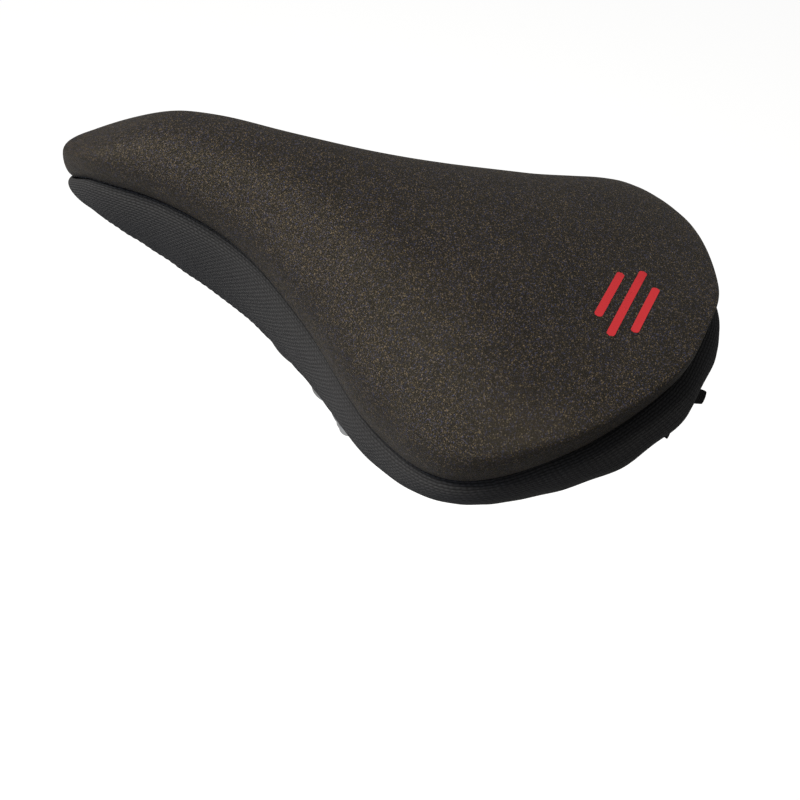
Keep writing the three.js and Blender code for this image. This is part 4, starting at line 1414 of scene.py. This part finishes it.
class SADDLE_OT_base(Step):
    """Makes the moulded base: its shell, ribs, rail sockets and the staples of the skin"""

    bl_idname = "saddle.base"
    bl_label = "Base"

    SOCKET_CORNER = 0.0015
    STAPLE_PITCH = 0.0235
    STAPLE_SHARE = 0.36
    STAPLE_WIRE = 0.00035

    def build(self, cover, colours, stage, clip):
        sections = seam_sections(BASE_STEPS)
        shell = join_seams(ring_piece("base_moulding", sections,
                                      [self.shell_outline(s) for s in sections]))
        shape(shell, "UNION", self.add_ribs(sections))
        for name, (low, high) in RAIL_SOCKETS.items():
            socket = block(name, low, high)
            bevel_edges(socket, upright_edge, self.SOCKET_CORNER)
            shape(shell, "UNION", socket)
        for side in (1, -1):
            route = [Vector((x, side * y, z)) for x, y, z in RAIL_ROUTE]
            bore = sweep("rail_bore", smooth_route(route, 4), RAIL_RADIUS + RAIL_GAP, 24)
            shape(shell, "DIFFERENCE", bore)
        smooth_by_angle(shell, 35)
        ride(shell, "saddle", "base_plastic", plastic_finish(colours), "saddle_base")
        self.add_staples()

    def shell_outline(self, section):
        return [
            *base_surface(section, BASE_INSET, 0, 12)[::-1],
            place(section, section.reach - BASE_INSET, base_foot(section) + 0.0004),
            place(section, section.reach - BASE_INSET - 0.0004, base_foot(section)),
            place(section, section.reach - BASE_INSET - BASE_WALL + 0.0004, base_foot(section)),
            place(section, section.reach - BASE_INSET - BASE_WALL, base_foot(section) + 0.0004),
            *base_surface(section, BASE_INSET + BASE_WALL, BASE_WALL, 12),
        ]

    def add_ribs(self, sections):
        """Crossing blades, trimmed to a layer that follows the shell's underside."""
        start = BASE_WALL - 0.0006
        inset = BASE_INSET + BASE_WALL + 0.002
        layer = join_seams(ring_piece("rib_layer", sections, [
            base_surface(s, inset, start, 12)[::-1]
            + base_surface(s, inset, start + RIB_DEPTH, 12) for s in sections]))
        half = RIB_WIDTH / 2
        start_x, end_x = RIB_ENDS
        low, high = RIB_HEIGHTS
        blades = [block("rib_blade", (start_x, y - half, low), (end_x, y + half, high))
                  for y in RIB_LINES]
        blades += [block("rib_blade", (x - half, -RIB_HALF_SPAN, low + RIB_STEP),
                         (x + half, RIB_HALF_SPAN, high - RIB_STEP)) for x in RIB_CROSSINGS]
        ribs = shape(blades[0], "UNION", *blades[1:])
        return shape(ribs, "INTERSECT", layer)

    def add_staples(self):
        """Wire staples that hold the skin's edge to the inside of the shell's wall."""
        inward = BASE_INSET + BASE_WALL + FIT_GAP + SKIN_WALL + 0.0002
        line = [place(s, s.reach - inward, base_foot(s) + 0.0012)
                for s in seam_sections(HIDDEN_STEPS)]
        staples = stitch_row("skin_staples", line, self.STAPLE_PITCH, self.STAPLE_SHARE,
                             self.STAPLE_WIRE)
        ride(staples, "saddle", "fastener_steel", bpy.data.materials["bright_zinc"])


class SADDLE_OT_rails(Step):
    """Bends the two steel rails"""

    bl_idname = "saddle.rails"
    bl_label = "Rails"

    def build(self, cover, colours, stage, clip):
        left = sweep("rail_rod_left", smooth_route(RAIL_ROUTE, 10), RAIL_RADIUS, 32)
        right = mirrored(left, "rail_rod_right")
        coating = rail_finish()
        ride(left, "saddle", "rail_steel", coating, "rail_left")
        ride(right, "saddle", "rail_steel", coating, "rail_right")


class SADDLE_OT_clip(Step):
    """Makes the split band that grips the post, with its two ears and their teeth"""

    bl_idname = "saddle.clip"
    bl_label = "Clip band"

    def build(self, cover, colours, stage, clip):
        band = cylinder("post_band", BAND_RADIUS, 0, BAND_HEIGHT, sides=96)
        half = BAND_SPLIT / 2
        for side in (1, -1):
            low, high = sorted((side * half, side * EAR_FACE))
            lobe = cylinder("ear_lobe", EAR_RADIUS, low, high, "Y", CLAMP, 80)
            web = block("ear_web", (CLAMP[0], low, CLAMP[1] - EAR_RADIUS),
                        (EAR_OVERLAP - BAND_RADIUS, high, CLAMP[1] + EAR_RADIUS))
            teeth = toothed_ring("ear_teeth", side * TOOTH_TIP, side * (EAR_FACE - 0.0005))
            shape(band, "UNION", web, lobe, teeth)
        shape(band, "DIFFERENCE",
              cylinder("post_hole", BAND_BORE, -0.01, 0.05, sides=96),
              block("split", (-0.05, -half, -0.01), (0, half, 0.05)),
              cylinder("stud_hole", STUD_BORE, -0.02, 0.02, "Y", CLAMP, 48))
        round_off(band, clip.edge)
        ride(band, "post_clip", "clip_steel", bpy.data.materials["pressed_steel"], "clip_band")


class SADDLE_OT_cheeks(Step):
    """Makes the four cheeks that grip the rails"""

    bl_idname = "saddle.cheeks"
    bl_label = "Rail cheeks"

    def build(self, cover, colours, stage, clip):
        steel = bpy.data.materials["pressed_steel"]
        for kind, maker in (("inner", self.add_inner), ("outer", self.add_outer)):
            left = maker(clip)
            left.name = left.data.name = f"{kind}_jaw_left"
            right = mirrored(left, f"{kind}_jaw_right")
            ride(left, "rail_clamp", "clip_steel", steel, f"{kind}_cheek_left")
            ride(right, "rail_clamp", "clip_steel", steel, f"{kind}_cheek_right")

    def add_plate(self, low, high):
        """A round foot about the stud and a straight jaw along the rail."""
        x = CLAMP[0]
        jaw = block("jaw", (x - CHEEK_HALF_LENGTH, low, JAW_FOOT),
                    (x + CHEEK_HALF_LENGTH, high, CHEEK_TOP))
        bevel_edges(jaw, lambda edge: all(v.co.z > CHEEK_TOP - 1e-5 for v in edge.verts)
                    and abs(edge.verts[0].co.y - edge.verts[1].co.y) > 1e-4, CHEEK_CORNER, 8)
        return shape(jaw, "UNION", cylinder("foot", CHEEK_RADIUS, low, high, "Y", CLAMP, 80))

    def add_inner(self, clip):
        back = CHEEK_TIP + TOOTH_BASE
        plate = self.add_plate(back, RAIL_Y - FIT_GAP)
        shape(plate, "UNION", toothed_ring("jaw_teeth", CHEEK_TIP, back + 0.0005))
        shape(plate, "DIFFERENCE", self.add_groove(),
              cylinder("relief", RELIEF_RADIUS, RAIL_Y - RELIEF_DEPTH, 0.03, "Y", CLAMP, 64),
              cylinder("stud_hole", STUD_BORE, 0, 0.04, "Y", CLAMP, 48))
        return round_off(plate, clip.edge)

    def add_outer(self, clip):
        plate = self.add_plate(RAIL_Y + FIT_GAP, OUTER_FACE)
        x = CLAMP[0]
        low, high = PRESSED_HEIGHTS
        panel = block("pressed_panel",
                      (x - PRESSED_HALF_LENGTH, OUTER_FACE - PRESSED_DEPTH, low),
                      (x + PRESSED_HALF_LENGTH, OUTER_FACE + 0.002, high))
        bevel_edges(panel, lambda edge: abs(edge.verts[0].co.y - edge.verts[1].co.y) > 1e-4,
                    PRESSED_CORNER, 6)
        shape(plate, "DIFFERENCE", self.add_groove(), panel,
              cylinder("stud_hole", STUD_BORE, 0, 0.04, "Y", CLAMP, 48))
        return round_off(plate, clip.edge)

    def add_groove(self):
        return cylinder("rail_groove", RAIL_RADIUS + RAIL_GAP, CLAMP[0] - 0.03,
                        CLAMP[0] + 0.03, "X", (RAIL_Y, RAIL_Z), 48)


class SADDLE_OT_fasteners(Step):
    """Makes the threaded stud, the washers and the nuts"""

    bl_idname = "saddle.fasteners"
    bl_label = "Stud, washers and nuts"

    STUD_CHAMFER = 0.0007
    NUT_CHAMFER = 0.0011
    COUNTERSINK = 0.0006

    def build(self, cover, colours, stage, clip):
        zinc = bpy.data.materials["bright_zinc"]
        ride(self.add_stud(clip), "post_clip", "fastener_steel", zinc, "clamp_stud")
        start = OUTER_FACE + FIT_GAP
        washer = cylinder("steel_washer_left", WASHER_RADIUS, start, start + WASHER_THICKNESS,
                          "Y", CLAMP, 80)
        shape(washer, "DIFFERENCE", cylinder("hole", STUD_BORE, 0, 0.05, "Y", CLAMP, 48))
        round_off(washer, clip.edge)
        nut = self.add_nut(start + WASHER_THICKNESS + FIT_GAP, clip)
        for left, node_name in ((washer, "clamp_washer"), (nut, "clamp_nut")):
            right = mirrored(left, left.name.replace("left", "right"))
            ride(left, "rail_clamp", "fastener_steel", zinc, node_name + "_left")
            ride(right, "rail_clamp", "fastener_steel", zinc, node_name + "_right")

    def add_stud(self, clip):
        core = cylinder("threaded_stud", STUD_RADIUS - THREAD_DEPTH, -STUD_HALF, STUD_HALF,
                        "Y", CLAMP, 48)
        bevel_edges(core, lambda edge: abs(abs(edge.verts[0].co.y) - STUD_HALF) < 1e-6
                    and abs(edge.verts[0].co.y - edge.verts[1].co.y) < 1e-6,
                    self.STUD_CHAMFER, 2)
        shank = cylinder("shank", STUD_RADIUS, -SHANK_HALF, SHANK_HALF, "Y", CLAMP, 48)
        shape(core, "UNION", shank)
        smooth_by_angle(core, 30)
        turns = (STUD_HALF - SHANK_HALF - 0.0012) / clip.pitch
        threads = [self.add_thread(y, turns, clip.pitch)
                   for y in (SHANK_HALF + 0.0002, 0.0010 - STUD_HALF)]
        only(core)
        for thread in threads:
            thread.select_set(True)
        bpy.ops.object.join()
        return core

    def add_thread(self, start, turns, pitch):
        bpy.ops.object.select_all(action="DESELECT")
        bpy.ops.mesh.primitive_circle_add(vertices=3, radius=THREAD_DEPTH * 1.05,
                                          fill_type="NOTHING")
        thread = bpy.context.active_object
        bpy.ops.object.mode_set(mode="EDIT")
        bpy.ops.transform.rotate(value=QUARTER, orient_axis="Z", center_override=(0, 0, 0))
        bpy.ops.transform.translate(value=(STUD_RADIUS - THREAD_DEPTH * 0.9, 0, 0))
        bpy.ops.object.mode_set(mode="OBJECT")
        wind(thread, "Y", turns, pitch * turns, 28)
        thread.location = (CLAMP[0], start, CLAMP[1])
        bpy.ops.object.transform_apply(location=True, rotation=True, scale=True)
        return thread

    def add_nut(self, start, clip):
        end = start + NUT_THICKNESS
        nut = cylinder("hex_nut_left", NUT_RADIUS, start, end, "Y", CLAMP, 6)
        crown = cylinder("crown", NUT_RADIUS + 0.0002, start, end, "Y", CLAMP, 96)
        bevel_edges(crown, lambda edge: abs(edge.verts[0].co.y - edge.verts[1].co.y) < 1e-6,
                    self.NUT_CHAMFER, 1)
        shape(nut, "INTERSECT", crown)
        hole = STUD_RADIUS + FIT_GAP
        shape(nut, "DIFFERENCE", cylinder("hole", hole, 0, 0.05, "Y", CLAMP, 48),
              cylinder("countersink", hole + self.COUNTERSINK, end - 0.0005, end + 0.002, "Y",
                       CLAMP, 48))
        return round_off(nut, clip.edge / 2)


class SADDLE_OT_cord_lock(Step):
    """Makes the cord lock: its barrel, push button and spring"""

    bl_idname = "saddle.cord_lock"
    bl_label = "Cord lock"

    # Turns of the grip flutes about the barrel, in degrees.
    GRIPS = (55, 72, 90, 108, 125, 235, 252, 270, 288, 305)
    GRIP_CIRCLE = 0.00725
    GRIP_RADIUS = 0.00065
    BARREL_CORNER = 0.0021
    BUTTON_CORNER = 0.0009
    THUMB_LINES = (-0.0022, 0, 0.0022)
    THUMB_DEPTH = 0.0004

    def build(self, cover, colours, stage, clip):
        acetal = lock_finish(colours)
        ride(self.add_barrel(), "cord_lock", "lock_plastic", acetal, "cord_lock_body")
        ride(self.add_button(), "lock_button", "lock_plastic", acetal, "cord_lock_button")
        spring = self.add_spring()
        ride(spring, "cord_lock", "fastener_steel", bpy.data.materials["bright_zinc"],
             "cord_lock_spring")
        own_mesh(spring)

    def add_barrel(self):
        barrel = cylinder("lock_barrel", LOCK_RADIUS, LOCK_FOOT, LOCK_TOP,
                          centre=(LOCK_X, 0), sides=80)
        bevel_edges(barrel, lambda edge: all(v.co.z > LOCK_TOP - 1e-6 for v in edge.verts),
                    self.BARREL_CORNER, 6)
        for angle in self.GRIPS:
            turn = math.radians(angle)
            spot = (LOCK_X + self.GRIP_CIRCLE * math.cos(turn),
                    self.GRIP_CIRCLE * math.sin(turn))
            shape(barrel, "DIFFERENCE", cylinder("grip", self.GRIP_RADIUS, LOCK_FOOT + 0.0022,
                                                 LOCK_TOP - 0.0038, centre=spot, sides=16))
        shape(barrel, "DIFFERENCE",
              cylinder("bore", LOCK_BORE, LOCK_FOOT - 0.002, LOCK_TOP - LOCK_ROOF,
                       centre=(LOCK_X, 0), sides=64),
              rounded_window("window", WINDOW_HALF, LOCK_Z - WINDOW_RISE, LOCK_Z + WINDOW_RISE))
        return round_off(barrel, 0.00025)

    def add_button(self):
        button = cylinder("push_button", BUTTON_RADIUS, BUTTON_FOOT, BUTTON_TOP,
                          centre=(LOCK_X, 0), sides=64)
        bevel_edges(button, lambda edge: all(v.co.z < BUTTON_FOOT + 1e-6 for v in edge.verts),
                    self.BUTTON_CORNER, 4)
        low = LOCK_Z - SLOT_RISE - BUTTON_TRAVEL
        shape(button, "DIFFERENCE", rounded_window("slot", SLOT_HALF, low, LOCK_Z + SLOT_RISE))
        deep = self.THUMB_DEPTH
        for row in self.THUMB_LINES:
            shape(button, "DIFFERENCE",
                  block("thumb_line", (LOCK_X - 0.006, row - deep, BUTTON_FOOT - 0.001),
                        (LOCK_X + 0.006, row + deep, BUTTON_FOOT + deep)))
        return round_off(button, 0.00018)

    def add_spring(self):
        bpy.ops.object.select_all(action="DESELECT")
        bpy.ops.mesh.primitive_circle_add(vertices=12, radius=SPRING_WIRE, fill_type="NOTHING",
                                          rotation=(QUARTER, 0, 0))
        bpy.ops.object.transform_apply(location=True, rotation=True, scale=True)
        spring = bpy.context.active_object
        spring.name = spring.data.name = "lock_spring"
        bpy.ops.object.mode_set(mode="EDIT")
        bpy.ops.transform.translate(value=(SPRING_RADIUS, 0, 0))
        bpy.ops.object.mode_set(mode="OBJECT")
        wind(spring, "Z", SPRING_TURNS, SPRING_HEAD - SPRING_START, 32)
        spring.location = (LOCK_X, 0, SPRING_START)
        bpy.ops.object.transform_apply(location=True, rotation=True, scale=True)
        return spring


class SADDLE_OT_drawcord(Step):
    """Makes the braided elastic cord in the hem, with its knot and two cut ends"""

    bl_idname = "saddle.drawcord"
    bl_label = "Drawcord"

    def build(self, cover, colours, stage, clip):
        braided = cord_finish()
        ring = [channel_centre(section) for section in seam_sections(6)]
        rear, ring = ring[0], ring[1:]
        trimmed = [p for p in ring if abs(p.y) > CORD_ENTRY or p.x > 0]
        path = [*self.lead(1, rear, trimmed[0]), *trimmed,
                *reversed(self.lead(-1, rear, trimmed[-1]))]
        cord = sweep("braided_drawcord", smooth_route(path, 3), CORD_RADIUS, 16)
        knot = sweep("cord_knot", self.knot_route(), CORD_RADIUS, 16, closed=True)
        only(cord)
        knot.select_set(True)
        bpy.ops.object.join()
        ride(cord, "saddle", "cord_fabric", braided, "elastic_drawcord")

    def lead(self, side, rear, start):
        """From the cut end through the knot and the lock to the hem's opening."""
        y = side * CORD_SPACING
        entry = rear.lerp(start, 0.30)
        return [
            Vector((KNOT_X + 0.0145, side * 0.0042, LOCK_Z - 0.0060)),
            Vector((KNOT_X + 0.0090, side * 0.0030, LOCK_Z - 0.0028)),
            Vector((KNOT_X + 0.0030, side * 0.0014, LOCK_Z - 0.0004)),
            Vector((KNOT_X - 0.0040, y, LOCK_Z)),
            Vector((-0.1020, y, LOCK_Z)),
            Vector((-0.1180, y, LOCK_Z)),
            Vector((-0.1240, y, LOCK_Z + 0.0004)),
            (Vector((-0.1240, y, LOCK_Z)) + entry) / 2 + Vector((0, 0, -0.0012)),
            entry,
            rear.lerp(start, 0.65),
        ]

    def knot_route(self):
        """An overhand knot drawn tight round both cords."""
        points = []
        for k in range(48):
            t = 2 * math.pi * k / 48
            points.append(Vector((
                KNOT_X - 0.0022 * math.sin(3 * t) * 0.5,
                KNOT_RADIUS * (math.sin(t) + 2 * math.sin(2 * t)) / 3,
                LOCK_Z + KNOT_RADIUS * (math.cos(t) - 2 * math.cos(2 * t)) / 3)))
        return points


class SADDLE_PT_panel(bpy.types.Panel):
    """Lists the building steps and their settings"""

    bl_label = "Bicycle saddle"
    bl_space_type = "VIEW_3D"
    bl_region_type = "UI"
    bl_category = "Saddle"

    def draw(self, context):
        for step in STEPS:
            self.layout.operator(step.bl_idname)
        for group in SETTINGS:
            settings = getattr(context.scene, group)
            box = self.layout.box()
            for name in settings.__annotations__:
                box.prop(settings, name)


STEPS = (SADDLE_OT_finishes, SADDLE_OT_stage, SADDLE_OT_cover, SADDLE_OT_mark,
         SADDLE_OT_skirt, SADDLE_OT_body, SADDLE_OT_base, SADDLE_OT_rails, SADDLE_OT_clip,
         SADDLE_OT_cheeks, SADDLE_OT_fasteners, SADDLE_OT_cord_lock, SADDLE_OT_drawcord)
SETTINGS = {"saddle_cover": CoverSettings, "saddle_colours": ColourSettings,
            "saddle_stage": StageSettings, "saddle_clip": ClipSettings}
CLASSES = (*SETTINGS.values(), *STEPS, SADDLE_PT_panel)


def register():
    for each in CLASSES:
        bpy.utils.register_class(each)
    for name, group in SETTINGS.items():
        setattr(bpy.types.Scene, name, PointerProperty(type=group))


def unregister():
    for name in SETTINGS:
        delattr(bpy.types.Scene, name)
    for each in reversed(CLASSES):
        bpy.utils.unregister_class(each)


def main():
    register()
    bpy.ops.saddle.finishes()
    bpy.ops.saddle.stage()
    bpy.ops.saddle.cover()
    bpy.ops.saddle.mark()
    bpy.ops.saddle.skirt()
    bpy.ops.saddle.body()
    bpy.ops.saddle.base()
    bpy.ops.saddle.rails()
    bpy.ops.saddle.clip()
    bpy.ops.saddle.cheeks()
    bpy.ops.saddle.fasteners()
    bpy.ops.saddle.cord_lock()
    bpy.ops.saddle.drawcord()


if __name__ == "__main__":
    main()
